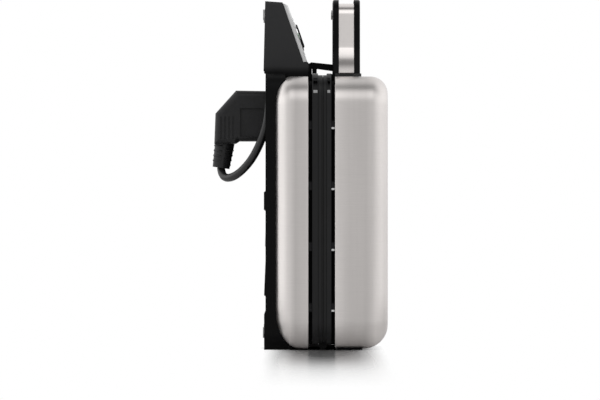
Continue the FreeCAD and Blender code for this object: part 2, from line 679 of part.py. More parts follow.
def heating_element(line_x):
    """A tubular element in one open loop, with its two terminals towards the front."""
    half, terminal = number("rod_half"), number("terminal_half")
    rear, front, end = number("rod_rear"), number("rod_front"), number("terminal_end")
    route = [(terminal, end), (terminal, front), (half, front), (half, rear)]
    route += [(-y, z) for y, z in reversed(route)]
    points = [Vector(line_x, y, z) for y, z in route]
    bend = number("rod_bend")
    short = (end - front) * 0.6
    radii = [min(bend, short)] + [bend] * 4 + [min(bend, short)]
    return tube(rounded_path(points, radii), number("rod_radius"))


PLATE_BACK = "(cavity_depth + cavity_floor)"
LOWER_ROD = f"({LOWER_FACE} - {PLATE_BACK} - rod_radius - seat_gap)"
UPPER_ROD = f"({UPPER_FACE} + {PLATE_BACK} + rod_radius + seat_gap)"
keep(shaped("lower_element", heating_element(number(LOWER_ROD))), "lower_heating_element")
keep(shaped("upper_element", heating_element(number(UPPER_ROD))), "upper_heating_element")


def reflector(name, start, lip_start):
    """A shallow sheet pan behind the heating element."""
    pan = plan_block(name + "_blank", "pan_half", "cook_rear - 4", "cook_front + 4", start, "pan_lip", "8")
    inside = plan_block(name + "_inside", "pan_half - pan_wall", "cook_rear - 4 + pan_wall",
                        "cook_front + 4 - pan_wall", lip_start, "pan_lip", "8 - pan_wall")
    return cut(name, pan, inside)


LOWER_PAN = f"({LOWER_ROD} - rod_radius - room_gap - pan_wall)"
UPPER_PAN = f"({UPPER_ROD} + rod_radius + room_gap + pan_wall)"
keep(reflector("lower_pan", LOWER_PAN, f"{LOWER_PAN} + pan_wall"), "lower_reflector")
keep(reflector("upper_pan", f"{UPPER_PAN} - pan_lip", f"{UPPER_PAN} - pan_wall - pan_lip"),
     "upper_reflector")


# Hinges at the rear

def hinge_leaf(name, side, toward, spans, bore_play):
    """A sheet leaf with rolled knuckles on the hinge axis. Spans give the knuckles about its middle."""
    knuckles, bores = [], []
    for low, high in spans:
        start = f"({side}) * hinge_side + ({low})"
        knuckles.append(rod(name + "_knuckle", ("parting", start, "hinge_height"), f"({high}) - ({low})",
                            "knuckle_radius", ALONG_Y))
        foot = "shell_rear + sheet_wall + room_gap"
        ends = ("parting - leaf_reach", "parting") if toward < 0 else ("parting", "parting + leaf_reach")
        knuckles.append(box(name + "_strap", (ends[0], start, foot),
                            (ends[1], f"{start} + ({high}) - ({low})", f"{foot} + leaf_thick")))
    bores.append(rod(name + "_bore", ("parting", f"({side}) * hinge_side - hinge_half - 1", "hinge_height"),
                     "2 * hinge_half + 2", f"pin_radius + {bore_play}", ALONG_Y))
    joined = cut(name + "_leaf", fuse(name + "_rolled", *knuckles), *bores)
    if len(spans) == 1:
        return joined
    # the two straps of an outer leaf are one sheet behind the middle knuckle
    foot = "shell_rear + sheet_wall + room_gap"
    bridge = box(name + "_bridge", ("parting - leaf_reach", f"({side}) * hinge_side - hinge_half", foot),
                 ("parting - leaf_reach / 2", f"({side}) * hinge_side + hinge_half", f"{foot} + leaf_thick"))
    return fuse(name + "_sheet", joined, bridge)


OUTER_SPANS = [("-hinge_half", "-hinge_half / 2"), ("hinge_half / 2", "hinge_half")]
INNER_SPANS = [("-hinge_half / 2 + fit_gap", "hinge_half / 2 - fit_gap")]
for side, word in ((-1, "near"), (1, "far")):
    keep(hinge_leaf(f"base_leaf_{word}", side, -1, OUTER_SPANS, "0"), f"base_hinge_leaf_{word}")
    keep(hinge_leaf(f"lid_leaf_{word}", side, 1, INNER_SPANS, "pin_play"), f"lid_hinge_leaf_{word}")
    keep(rod(f"pin_{word}", ("parting", f"{side} * hinge_side - hinge_half", "hinge_height"),
             "2 * hinge_half", "pin_radius", ALONG_Y), f"hinge_pin_{word}")

standing = on_both_sides(lambda side: box("standing_foot",
                                          (LID_EDGE + " + 1", f"{side} * foot_side - foot_width / 2",
                                           "0"), (LID_EDGE + " + 1 + foot_length",
                                                  f"{side} * foot_side + foot_width / 2", "shell_rear")))
keep(group("standing_feet", *standing), "lid_standing_feet")


# Moulded base with the control box

FASCIA_X = f"({BASE_EDGE} - fascia_setback)"
BOX_BACK = f"({UNDERSIDE} - box_proud)"
base_points = [
    (UNDERSIDE, "lip_front"),
    (f"{LOWER_BACK} + lip_reach", "lip_front"),
    (f"{LOWER_BACK} + lip_reach", "lip_front / 2"),
    (f"{LOWER_BACK} + lip_reach + 6", "lip_front / 2"),
    (f"{LOWER_BACK} + lip_reach + 6", "0"),
    (SKID, "0"),
    (SKID, "skid_height"),
    (UNDERSIDE, "skid_height + 1.5"),
    (UNDERSIDE, "rib_low - 1"),
    (SKID, "rib_low"),
    (UNDERSIDE, "rib_high"),
    (UNDERSIDE, "pad_middle - pad_length / 2 - 1"),
    (f"{UNDERSIDE} - 1", "pad_middle - pad_length / 2"),
    (f"{UNDERSIDE} - 1", "pad_middle + pad_length / 2"),
    (UNDERSIDE, "pad_middle + pad_length / 2 + 1"),
]
base_sides = side_slab("base_sides", base_points, "base_width")
base_plan = plan_block("base_plan", "base_width / 2", "0", "lip_front", f"{UNDERSIDE} - 10", "60",
                       "base_corner")
base_blank = doc.addObject("Part::MultiCommon", "base_blank")
base_blank.Shapes = [base_sides, base_plan]
doc.recompute()
TOP_LEAN = "1.4"
box_points = [
    (UNDERSIDE, "shell_front - front_round - 8"), (UNDERSIDE, "box_foot - 1"), (BOX_BACK, "box_foot"),
    (f"{BOX_BACK} + {TOP_LEAN}", "box_top"), (f"{BOX_BACK} + {TOP_LEAN} + box_top_depth", "box_top - 1"),
    (FASCIA_X, "fascia_foot"), (BASE_EDGE, "fascia_foot"), (BASE_EDGE, "shell_front - front_round - 8"),
]
box_blank = side_slab("box_blank", box_points, "box_width")


def box_rim(edge):
    """An edge of the box's sides above the fascia's foot, behind the fascia."""
    extent = edge.BoundBox
    behind = extent.XMax < number(f"{FASCIA_X} - 10")
    return behind and extent.YLength < 1e-6 and extent.ZMin > number("fascia_foot + 5")


round_edges(box_blank, "box_round", box_rim)
cover_room = dished_block("cover_room", f"{HALF} + room_gap", "shell_rear - room_gap",
                          "shell_front + room_gap", f"{LOWER_BACK} - room_gap", "2 * base_depth",
                          "plan_corner + room_gap", "front_round + room_gap", "rear_round + room_gap",
                          f"{LOWER_BACK} - room_gap")

OUTER_LAP = "(lap_half + lap_pitch)"
RECESS = {"half": f"({OUTER_LAP} + cord_radius + recess_play)",
          "low": "(lap_low - cord_radius - recess_play)",
          "high": "(lap_high + lap_pitch + cord_radius + recess_play)"}
ISLAND = {"half": "(lap_half - cord_radius - island_play)", "low": "(lap_low + cord_radius + island_play)",
          "high": "(lap_high - cord_radius - island_play)"}
recess_block = plan_block("recess_block", RECESS["half"], RECESS["low"], RECESS["high"],
                          f"{UNDERSIDE} - 10", f"{RECESS_FLOOR} - {UNDERSIDE} + 10",
                          "lap_bend + cord_radius + recess_play")
island = plan_block("island", ISLAND["half"], ISLAND["low"], ISLAND["high"], UNDERSIDE,
                    "2 * cord_radius + 1", "lap_bend - cord_radius - island_play")
bush_block = box("bush_block", (UNDERSIDE, f"{ISLAND['half']} - 5", "cord_start - bush_length - bush_root"),
                 (f"{RECESS_FLOOR} + 0.5", "lap_half + bush_radius + 0.8", "cord_start - bush_length + 8"))
island_room = plan_block("island_room", WINDOW["half"] + " - 1", WINDOW["low"] + " + 1",
                         WINDOW["high"] + " - 1", f"{UNDERSIDE} + 2.4", "base_thick", "7")
fascia_room_points = [
    (f"{RECESS_FLOOR} + box_wall", "shell_front + box_wall + 12"),
    (f"{RECESS_FLOOR} + box_wall", "box_top - box_wall - 2"),
    (f"{BOX_BACK} + {TOP_LEAN} + box_top_depth + 20", "box_top - box_wall - 2"),
    (f"{FASCIA_X} + 20", "fascia_foot + 4"),
    (f"{FASCIA_X} - 6", "fascia_foot + 4"),
    (f"{FASCIA_X} - 10", "shell_front + box_wall + 12"),
]
fascia_room = side_slab("fascia_room", fascia_room_points, "box_width - 4 * box_wall")


def parking_bosses(radius, start, length):
    return [rod("parking", (start, f"park_side + {side} * pin_pitch / 2", "park_height"), length, radius)
            for side in (1, -1)]


bosses = parking_bosses("plug_pin + 2", f"{UNDERSIDE} + 1", "plug_pin_length + 1")
pin_holes = parking_bosses("plug_pin + room_gap", f"{UNDERSIDE} - 1", "plug_pin_length + 1.4")
bush_seat = rod("bush_seat", (CORD_LINE, "lap_half", "cord_start - bush_length"), "bush_length",
                "bush_radius + press_gap", ALONG_Z)


def tab(side):
    """A moulded tab that keeps the lead in its recess, bridging from the skirt."""
    inner, outer = f"{RECESS['half']} - tab_reach", f"{RECESS['half']} + 6"
    low, high = (inner, outer) if side > 0 else (f"-({outer})", f"-({inner})")
    return box("tab", (f"{UNDERSIDE} - 0.4 - tab_thick", low, "pad_middle - pad_length / 2"),
               (f"{UNDERSIDE} - 0.4", high, "pad_middle + pad_length / 2"))




def tab_root(side):
    """The foot that joins a cord tab to the base beside the recess."""
    middle = f"{side} * ({RECESS['half']} + 3.5)"
    return box("tab_root", (f"{UNDERSIDE} - 0.5", f"{middle} - 2.5", "pad_middle - pad_length / 2"),
               (f"{UNDERSIDE} + 1", f"{middle} + 2.5", "pad_middle + pad_length / 2"))


tab_roots = on_both_sides(tab_root)
screw_wells = [rod("screw_well", (f"{SKID} - 1", side, height), "skid_proud + 1 + head_height + 0.6",
                   "screw_head + 0.4") for side, height in BASE_SCREWS]
shank_holes = [rod("shank_hole", (f"{SKID} - 1", side, height), "base_thick + skid_proud + 3",
                   "screw_radius + seat_gap") for side, height in BASE_SCREWS]
PADS = [("pad_side", "rear_pad_height", SKID),
        ("box_pad_side", "front_pad_height", f"{BOX_BACK} + {TOP_LEAN}")]


def pad_rods(name, radius, start, length):
    return [rod(name, (start(face), f"{sign} * {side}", height), length(face), radius) for side, height,
            face in PADS for sign in (1, -1)]


def cheek(side):
    """A raised pad on the box's front beside the latch."""
    ends = sorted((f"{side} * (latch_half + 1)", f"{side} * (latch_half + 1 + cheek_width)"), key=number)
    return box("cheek", (f"{BASE_EDGE} - 2", ends[0], "plate_front + seat_gap"),
               (f"{BASE_EDGE} + cheek_proud", ends[1], "fascia_foot - fit_gap"))


pad_seats = pad_rods("pad_seat", "pad_radius + press_gap", lambda face: FEET,
                     lambda face: f"{face} + pad_sunk - {FEET}")
shell_blank = cut("base_shell", fuse("base_solid", base_blank, box_blank), cover_room, recess_block)
hollowed = cut("base_hollowed",
               fuse("base_with_island", shell_blank, island, bush_block, *bosses, *on_both_sides(tab),
                    *tab_roots, *on_both_sides(cheek)), fascia_room, bush_seat, *screw_wells,
               *shank_holes, *pad_seats)
boss_spaces = [rod("boss_space", (f"{UNDERSIDE} + 1", f"park_side + {side} * pin_pitch / 2", "park_height"),
                   "plug_pin_length + 1", "plug_pin + 2") for side in (1, -1)]
room_less_bosses = cut("island_space", island_room, *boss_spaces)
keep(cut("base_moulding", hollowed, room_less_bosses, *pin_holes), "base_housing")

keep(group("pads", *pad_rods("pad", "pad_radius", lambda face: FEET,
                             lambda face: f"{face} + pad_sunk - {FEET}")), "foot_pads")


def screw(name, start, side, height, shank):
    head = rod(name + "_head", (start, side, height), "head_height", "screw_head")
    return fuse(name, head, rod(name + "_shank", (f"{start} + head_height - 0.5", side, height), shank,
                                "screw_radius"))


keep(group("base_screw_set",
           *[screw("base_screw", f"{UNDERSIDE} + 0.4", side, height, "base_shank")
             for side, height in BASE_SCREWS]), "base_screws")


# Control panel: everything here is set in the fascia's own frame, with x out of the panel and z up its slope

LEAN = FreeCAD.Rotation(ALONG_Y, -number("fascia_angle"))


def on_panel(thing):
    """Leans a piece on the fascia's slope."""
    thing.Placement = FreeCAD.Placement(Vector(number(FASCIA_X), 0, number("fascia_foot")),
                                        LEAN).multiply(thing.Placement)
    return thing


def disc(low, high, radius, side=0.0, along=None):
    along = number("dial_along") if along is None else along
    return Part.makeCylinder(radius, high - low, Vector(low, side, along), ALONG_X)


def crowned_fascia():
    half, length = number("fascia_width / 2"), number("fascia_length")
    edge, crown = number("fascia_edge"), number("fascia_crown")
    arch = Part.Arc(Vector(edge, -half, 0), Vector(crown, 0, 0), Vector(edge, half, 0)).toShape()
    corners = [Vector(edge, half, 0), Vector(0.1, half, 0), Vector(0.1, -half, 0), Vector(edge, -half, 0)]
    sides = [Part.LineSegment(a, b).toShape() for a, b in zip(corners, corners[1:])]
    face = Part.Face(Part.Wire([arch] + sides))
    plate = face.extrude(Vector(0, 0, length))
    chamfer_edges = [e for e in plate.Edges
                     if e.BoundBox.ZMin > length - 1e-6 and e.BoundBox.XMax > edge + 0.1]
    plate = plate.makeChamfer(min(2.0, edge * 0.9), chamfer_edges)
    well = disc(number("dial_well"), crown + 5, number("dial_radius + bezel_ring") + 0.5)
    hole = disc(-1, crown, number("shaft_radius") + 0.5)
    pitch = number("lens_pitch / 2")
    lenses = [disc(-1, crown + 5, number("lens_radius") + 0.05, side * pitch) for side in (1, -1)]
    return plate.cut([well, hole] + lenses)


keep(on_panel(shaped("fascia", crowned_fascia())), "control_fascia")
dial_floor = number("dial_well") + 0.3
ring_inner = number("dial_radius") + 0.25
ring = disc(number("dial_well") + 0.05, number("fascia_crown") + 0.7, ring_inner + number("bezel_ring"))
keep(on_panel(shaped("bezel", ring.cut(disc(0, 20, ring_inner)))), "dial_bezel")


def dial():
    radius, top = number("dial_radius"), number("dial_top")
    knob = disc(dial_floor, top, radius)
    rim = [e for e in knob.Edges if e.Curve.TypeId == "Part::GeomCircle" and e.BoundBox.XMin > top - 1e-6]
    knob = knob.makeChamfer(0.9, rim)
    flutes = []
    flute_count = 18
    for i in range(flute_count):
        turn = 2 * math.pi * (i + 0.5) / flute_count
        flutes.append(disc(dial_floor + 1.6, top + 1, 0.9, radius * 1.03 * math.sin(turn),
                           number("dial_along") + radius * 1.03 * math.cos(turn)))
    bore = disc(0, top - 1.4, number("shaft_radius"))
    return knob.cut(flutes + [bore, pointer_block(0.0)])


def pointer_block(shrink):
    top, along = number("dial_top"), number("dial_along")
    return slab(Vector(top - 0.9 + shrink, -0.8 + shrink, along + 2.5 + shrink),
                Vector(top + 0.4, 0.8 - shrink, along + 9.2 - shrink))


keep(on_panel(shaped("knob", dial())), "dial_knob")
keep(on_panel(shaped("pointer", pointer_block(0.05).common(disc(0, number("dial_top"), 30)))),
     "dial_pointer")
THERMOSTAT_FACE = -2.4
keep(on_panel(shaped("shaft",
                     disc(THERMOSTAT_FACE + 0.2, number("dial_top") - 1.45,
                          number("shaft_radius") - 0.02))), "dial_shaft")


def thermostat():
    half, along = number("thermostat_side / 2"), number("dial_along")
    block = slab(Vector(THERMOSTAT_FACE - number("thermostat_deep"), -half, along - half * 0.7),
                 Vector(THERMOSTAT_FACE, half, along + half * 0.7))
    neck = disc(THERMOSTAT_FACE - 0.1, 0.05,
                number("shaft_radius") + 2.4).cut(disc(-10, 1, number("shaft_radius") + 0.1))
    return block.fuse(neck).removeSplitter()


keep(on_panel(shaped("thermostat_block", thermostat())), "thermostat")
for side, colour in ((1, "power"), (-1, "ready")):
    place = side * number("lens_pitch / 2")
    lens = disc(0.3, number("fascia_crown") + 0.3, number("lens_radius"), place)
    keep(on_panel(shaped(colour + "_window", lens)), colour + "_lens")
lamps = [disc(-number("lamp_length"), 0.2, number("lens_radius") - 0.5, side * number("lens_pitch / 2"))
         for side in (1, -1)]
keep(on_panel(shaped("lamps", Part.makeCompound(lamps))), "indicator_lamps")
keep(box("terminals", (f"{RECESS_FLOOR} + box_wall + press_gap", "thermostat_side / 2 + 8",
                       "fascia_foot + 4.2"), (f"{RECESS_FLOOR} + box_wall + terminal_deep",
                                              "thermostat_side / 2 + 8 + terminal_width",
                                              "fascia_foot + 4.2 + terminal_height")), "terminal_block")


# Latch between the lid and the base

PIVOT_X = f"({LID_EDGE} + latch_pivot_over)"
CATCH_FRONT = f"({BASE_EDGE} + press_gap)"
HOOK_IN = f"({BASE_EDGE} + 0.6 + hook_thick)"
CATCH_BACK = f"({HOOK_IN} + fit_gap)"
catch_points = [
    (CATCH_FRONT, "shell_front + fit_gap"),
    (f"{CATCH_BACK} + catch_thick", "shell_front + fit_gap"),
    (f"{CATCH_BACK} + catch_thick", "catch_top"),
    (CATCH_BACK, "catch_top"),
    (CATCH_BACK, "shell_front + fit_gap + catch_floor"),
    (CATCH_FRONT, "shell_front + fit_gap + catch_floor"),
]
keep(side_slab("catch", catch_points, "2 * latch_half"), "latch_catch")
BAR_LOW = "(catch_top + fit_gap)"
lever_points = [
    (PIVOT_X, "latch_height - latch_thick / 2"),
    (f"{CATCH_BACK} + catch_thick + 1", BAR_LOW),
    (HOOK_IN, BAR_LOW),
    (HOOK_IN, "shell_front + fit_gap + catch_floor + 0.5"),
    (f"{HOOK_IN} - hook_thick", "shell_front + fit_gap + catch_floor + 0.5"),
    (f"{HOOK_IN} - hook_thick", f"{BAR_LOW} + latch_thick - 1"),
    (f"{HOOK_IN} - hook_thick + 2", f"{BAR_LOW} + latch_thick"),
    (PIVOT_X, "latch_height + latch_thick / 2"),
]
lever_bar = side_slab("lever_bar", lever_points, "2 * latch_half")
lever_eye = rod("lever_eye", (PIVOT_X, "-latch_half", "latch_height"), "2 * latch_half",
                "latch_thick / 2 + 0.4", ALONG_Y)
lever_bore = rod("lever_bore", (PIVOT_X, "-latch_half - 1", "latch_height"), "2 * latch_half + 2",
                 "latch_pin + pin_play", ALONG_Y)
keep(cut("lever", fuse("lever_blank", lever_bar, lever_eye), lever_bore), "latch_lever")
keep(rod("latch_axle", (PIVOT_X, "-latch_half - fit_gap - ear_thick", "latch_height"),
         "2 * (latch_half + fit_gap + ear_thick)", "latch_pin", ALONG_Y), "latch_pin")
EAR_OUT = "(latch_half + fit_gap + ear_thick)"


def ear(side):
    """An ear of the latch bracket beside the latch."""
    middle = f"{side} * (latch_half + fit_gap + ear_thick / 2)"
    return box("ear", (f"{PIVOT_X} - 4", f"{middle} - ear_thick / 2", "shell_front"),
               (f"{PIVOT_X} + 6", f"{middle} + ear_thick / 2", "latch_height + 4"))


ears = on_both_sides(ear)
bracket_floor = box("bracket_floor", (f"{LID_EDGE} + room_gap", f"-{EAR_OUT}", "shell_front"),
                    (f"{PIVOT_X} + 6", EAR_OUT, "shell_front + 2"))
bracket_bore = rod("bracket_bore", (PIVOT_X, f"-{EAR_OUT} - 1", "latch_height"), f"2 * {EAR_OUT} + 2",
                   "latch_pin", ALONG_Y)
keep(cut("bracket", fuse("bracket_blank", *ears, bracket_floor), bracket_bore), "latch_bracket")


# Handle on the lid: two black layers with a steel band between them, wrapped round a core

def handle_layer(name, start, depth, inset, inner_inset):
    """One layer of the handle: a U in plan with feet that splay out to the lid."""
    foot = "(shell_front + collar_height)"
    half, inner = f"(handle_half - {inset})", f"(handle_half - handle_bar + {inner_inset})"
    splay = "handle_flare"
    top, inner_top = f"(handle_top - {inset})", f"(handle_top - handle_bar + {inner_inset})"
    right = [(f"{half} + {splay}", foot), (half, "handle_waist"), (half, top)]
    left = [(f"-({y})", z) for y, z in reversed(right)]
    inner_left = [(f"-({inner} + {splay})", foot), (f"-{inner}", "handle_waist"), (f"-{inner}", inner_top)]
    inner_right = [(f"{inner}", inner_top), (f"{inner}", "handle_waist"), (f"{inner} + {splay}", foot)]
    body = outline_body(name, "YZ_Plane", right + left + inner_left + inner_right, start, depth)

    def upright_at(edge, height):
        return runs_along(edge, ALONG_X) and abs(edge.BoundBox.ZMin - number(height)) < 1e-3

    round_edges(body, "waist_round", lambda edge: upright_at(edge, "handle_waist"))
    round_edges(body, f"handle_corner - {inset}", lambda edge: upright_at(edge, top))
    round_edges(body, "handle_corner / 2", lambda edge: upright_at(edge, inner_top))
    return body


def soften(body, x):
    """Rounds the outline of a handle layer on its outer face."""
    above = number("shell_front + collar_height + 0.5")
    return round_edges(body, "handle_edge", lambda edge: at_x(edge, number(x)) and edge.BoundBox.ZMax > above)


lower_layer = soften(handle_layer("lower_layer", HANDLE_FACE, "frame_layer", "0", "0"), HANDLE_FACE)
upper_layer = soften(handle_layer("upper_layer", BAND_END, "frame_layer", "0", "0"),
                     f"{BAND_END} + frame_layer")
BUMPER_HEIGHT = "(handle_top - handle_bar / 2 - 4)"
bumper_spots = [f"{side} * (handle_half - handle_corner - 6)" for side in (1, -1)]
bumper_seats = [rod("bumper_seat", (f"{HANDLE_FACE} - 1", spot, BUMPER_HEIGHT), "1 + 1.6",
                    "bumper_radius + press_gap") for spot in bumper_spots]
keep(cut("lower_grip", lower_layer, *bumper_seats), "handle_lower_layer")
keep(upper_layer, "handle_upper_layer")
keep(group("bumpers", *[rod("bumper", (f"{HANDLE_FACE} - bumper_proud", spot, BUMPER_HEIGHT),
                            "bumper_proud + 1.6", "bumper_radius") for spot in bumper_spots]),
     "handle_bumpers")
band_blank = handle_layer("band_blank", f"{BAND_START} + press_gap", "band_layer - seat_gap",
                          "band_inset", "0.6")
core_blank = handle_layer("core_blank", f"{BAND_START} + press_gap", "band_layer - seat_gap",
                          "(band_inset + band_wall + seat_gap)", "0.6")
keep(cut("band", band_blank,
         handle_layer("band_space", f"{BAND_START} - 1", "band_layer + 2", "(band_inset + band_wall)",
                      "-2")), "handle_band")
handle_bores = on_both_sides(lambda side: rod("handle_bore",
                                              (HANDLE_MIDDLE, f"{side} * {LEG_MIDDLE}", "shell_front"),
                                              "handle_shank + 2", "screw_radius + press_gap", ALONG_Z))
keep(cut("core", core_blank, *handle_bores), "handle_core")


def collar(side):
    middle = f"{side} * {LEG_MIDDLE}"
    reach = "(handle_bar / 2 + handle_flare / 2 + 1)"
    block = box("collar_block", (f"{HANDLE_FACE} + 1.9", f"{middle} - {reach}", "shell_front"),
                (f"{BAND_END} + frame_layer + 1", f"{middle} + {reach}",
                 "shell_front + collar_height - press_gap"))
    bore = rod("collar_bore", (HANDLE_MIDDLE, middle, "shell_front - 1"), "collar_height + 2",
               "screw_radius + seat_gap", ALONG_Z)
    return cut("collar", block, bore)


keep(group("collars", *on_both_sides(collar)), "handle_collars")


def handle_screw(side):
    middle = f"{side} * {LEG_MIDDLE}"
    top = "(shell_front - sheet_wall)"
    head = rod("handle_screw_head", (HANDLE_MIDDLE, middle, f"{top} - head_height"), "head_height",
               "screw_head", ALONG_Z)
    return fuse("handle_screw", head,
                rod("handle_screw_shank", (HANDLE_MIDDLE, middle, f"{top} - 0.5"), "handle_shank",
                    "screw_radius", ALONG_Z))


keep(group("handle_screw_pair", *on_both_sides(handle_screw)), "handle_screws")


# Lead: wound in two laps in the base's recess, then a free loop to the parked plug

def lap_points():
    """Corner points of the two laps in the recess, from the bush up the far side."""
    line, low, high = number(CORD_LINE), number("lap_low"), number("lap_high")
    inner, outer = number("lap_half"), number(OUTER_LAP)
    top = high + number("lap_pitch")
    slant = number("lap_bend") * (2 - math.sqrt(2))
    route = [(inner, number("cord_start")), (inner, high - slant), (inner - slant, high),
             (slant - inner, high), (-inner, high - slant), (-inner, low + slant), (slant - inner, low),
             (outer - slant, low), (outer, low + slant), (outer, top - slant), (outer - slant, top),
             (slant - outer, top), (-outer, top - slant), (-outer, top - number("lap_bend") - 1)]
    return [Vector(line, y, z) for y, z in route]


winding_points = lap_points()
winding_path = rounded_path(winding_points, [number("lap_bend")] * (len(winding_points) - 2))
winding = tube(winding_path, number("cord_radius"))
keep(shaped("winding", winding), "lead_winding")

# The free loop's points, chosen by hand, from the end of the laps to the plug's sleeve
LEAD_POINTS = [(-46.9, -63, 227), (-46.9, -63, 206), (-50.8, -61, 183), (-60.5, -54, 161.5),
               (-72, -45, 148.5), (-81.8, -34.5, 143.6), (-87.6, -26, 146.8), (-88.2, -22, 153)]
lead_points = [winding_points[-1]] + [Vector(*point) for point in LEAD_POINTS[1:]]


def lead_radii(points):
    radii = []
    for before, corner, after in zip(points, points[1:], points[2:]):
        back, ahead = before - corner, after - corner
        half_turn = (math.pi - back.getAngle(ahead)) / 2
        radii.append(0.45 * min(back.Length, ahead.Length) / math.tan(half_turn))
    return radii


loop_radii = lead_radii(lead_points)
lead_path = rounded_path(lead_points, loop_radii)
lead = tube(lead_path, number("cord_radius"))
keep(shaped("lead", lead), "lead_loop")
print("lead bends", [round(r, 1) for r in loop_radii], "winding", round(winding_path.Length), "loop",
      round(lead_path.Length))
section = math.pi * number("cord_radius") ** 2
spots = winding_path.discretize(Distance=4.0) + lead_path.discretize(Distance=4.0)
least = min((a - b).Length for i, a in enumerate(spots) for b in spots[i + 8:])
print("least distance between turns", round(least - 2 * number("cord_radius"), 2))
print("volume over section times length", round(winding.Volume / section / winding_path.Length, 4),
      round(lead.Volume / section / lead_path.Length, 4))


def bush():
    """A tapered bush where the lead leaves the base."""
    foot, end = number("cord_start - bush_length"), number("cord_start")
    wide, slim = number("bush_radius"), number("cord_radius + room_gap")
    return Part.makeCone(wide, slim, end - foot, Vector(number(CORD_LINE), number("lap_half"), foot),
                         ALONG_Z)


keep(shaped("bush", bush()), "lead_bush")


# Plug

PLUG_FACE = f"({UNDERSIDE} - room_gap)"
PLUG_BACK = f"({PLUG_FACE} - plug_deep)"
GRIP_EDGE = f"({PLUG_BACK} + 2 * sleeve_wide)"


def plug():
    face, back = number(PLUG_FACE), number(PLUG_BACK)
    low, high, half = number("plug_low"), number("plug_high"), number("plug_half")
    chamfer, slope = number("plug_chamfer"), number("plug_slope")
    grip = number(GRIP_EDGE)
    outline = [Vector(face, 0, low), Vector(face, 0, high), Vector(back + chamfer, 0, high + 0.4),
               Vector(back, 0, high - slope), Vector(back - 1, 0, low - 2), Vector(grip, 0, low - 2),
               Vector(grip + 3, 0, low)]
    head = Part.Face(Part.makePolygon(outline + outline[:1])).extrude(Vector(0, 2 * half, 0))
    head.translate(Vector(0, number("park_side") - half, 0))
    long_edges = [e for e in head.Edges if not runs_along(e, ALONG_Y) and e.BoundBox.XMin < face - 0.5]
    head = head.makeFillet(5.0, long_edges)
    end = Vector(*LEAD_POINTS[-1])
    start = Vector(number(GRIP_EDGE) - number("sleeve_wide"), number("park_side"), low + 4)
    sleeve = Part.makeCone(number("sleeve_slim"), number("sleeve_wide"), (start - end).Length, end,
                           start - end)
    solid = head.fuse(sleeve)
    cuts = []
    for side in (1, -1):
        outer = sorted((number("park_side") + side * (half - 2.4), number("park_side") + side * (half + 5)))
        cuts.append(slab(Vector(face - 21.5, outer[0], low + 4), Vector(face + 1, outer[1], low + 28)))
        groove = sorted((number("park_side") + side * (half - 1.2),
                         number("park_side") + side * (half + 5)))
        for i in range(4):
            x = back + 4.2 + i * 3.4
            cuts.append(slab(Vector(x, groove[0], low + 2), Vector(x + 1.3, groove[1], low + 21)))
    cuts.append(tube(lead_path, number("cord_radius") + 0.05))
    return solid.cut(cuts).removeSplitter()


keep(shaped("plug_moulding", plug()), "plug_body")
keep(group("plug_pin_pair",
           *[rod("plug_pin", (f"{PLUG_FACE} + press_gap", f"park_side + {side} * pin_pitch / 2",
                              "park_height"), "plug_pin_length", "plug_pin") for side in (1, -1)]),
     "plug_pins")


# Checks, then one file for each sub-part

doc.recompute()
for thing in doc.Objects:
    if any(word in thing.State for word in ("Invalid", "Error")):
        raise RuntimeError(f"{thing.Label} failed: {thing.State}")
os.makedirs("parts", exist_ok=True)
for thing in subparts:
    if thing.Shape.isNull() or not thing.Shape.isValid() or not thing.Shape.Solids:
        raise RuntimeError(f"{thing.Label} has no valid solid")
    thing.Shape.exportStep(f"parts/{thing.Label}.step")
    extent = thing.Shape.optimalBoundingBox()
    print(f"{thing.Label:24s} solids {len(thing.Shape.Solids):2d} X {extent.XMin:7.2f} {extent.XMax:7.2f} "
          f"Y {extent.YMin:7.2f} {extent.YMax:7.2f} Z {extent.ZMin:7.2f} {extent.ZMax:7.2f}")
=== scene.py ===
"""Dresses the waffle maker: brushed covers, moulded plastics, coated grids, wound lead and studio."""

import json
import math

import bmesh
import bpy
from mathutils import Matrix, Vector


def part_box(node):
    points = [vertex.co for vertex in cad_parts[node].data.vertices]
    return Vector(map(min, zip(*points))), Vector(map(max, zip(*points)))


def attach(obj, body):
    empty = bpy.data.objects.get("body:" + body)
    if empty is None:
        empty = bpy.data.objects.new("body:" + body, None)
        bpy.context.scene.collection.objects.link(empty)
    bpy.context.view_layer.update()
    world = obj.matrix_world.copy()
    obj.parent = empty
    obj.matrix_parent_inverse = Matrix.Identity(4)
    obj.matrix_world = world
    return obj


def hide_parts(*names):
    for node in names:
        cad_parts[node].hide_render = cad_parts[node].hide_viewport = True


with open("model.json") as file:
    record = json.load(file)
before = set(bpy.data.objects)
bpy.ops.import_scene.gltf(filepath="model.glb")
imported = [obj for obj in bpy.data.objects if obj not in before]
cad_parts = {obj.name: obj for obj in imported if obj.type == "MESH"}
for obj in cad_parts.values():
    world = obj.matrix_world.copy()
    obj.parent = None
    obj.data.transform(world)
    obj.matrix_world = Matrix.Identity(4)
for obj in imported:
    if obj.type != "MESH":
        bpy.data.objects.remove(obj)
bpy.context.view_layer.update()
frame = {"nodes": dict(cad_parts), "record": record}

bl_info = {
    "name": "Waffle maker on end",
    "version": (1, 0, 0),
    "blender": (4, 5, 0),
    "location": "View3D > Sidebar > Waffle maker",
    "description": "Builds the finish of a waffle maker that stands on its hinge end",
    "category": "Object",
}

NODES = frame["nodes"]
MM = 0.001


def span(node, axis):
    """Lowest and highest place of a node along an axis, in metres."""
    low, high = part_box(node)
    return low[axis], high[axis]


# Sizes and colours that a user would change

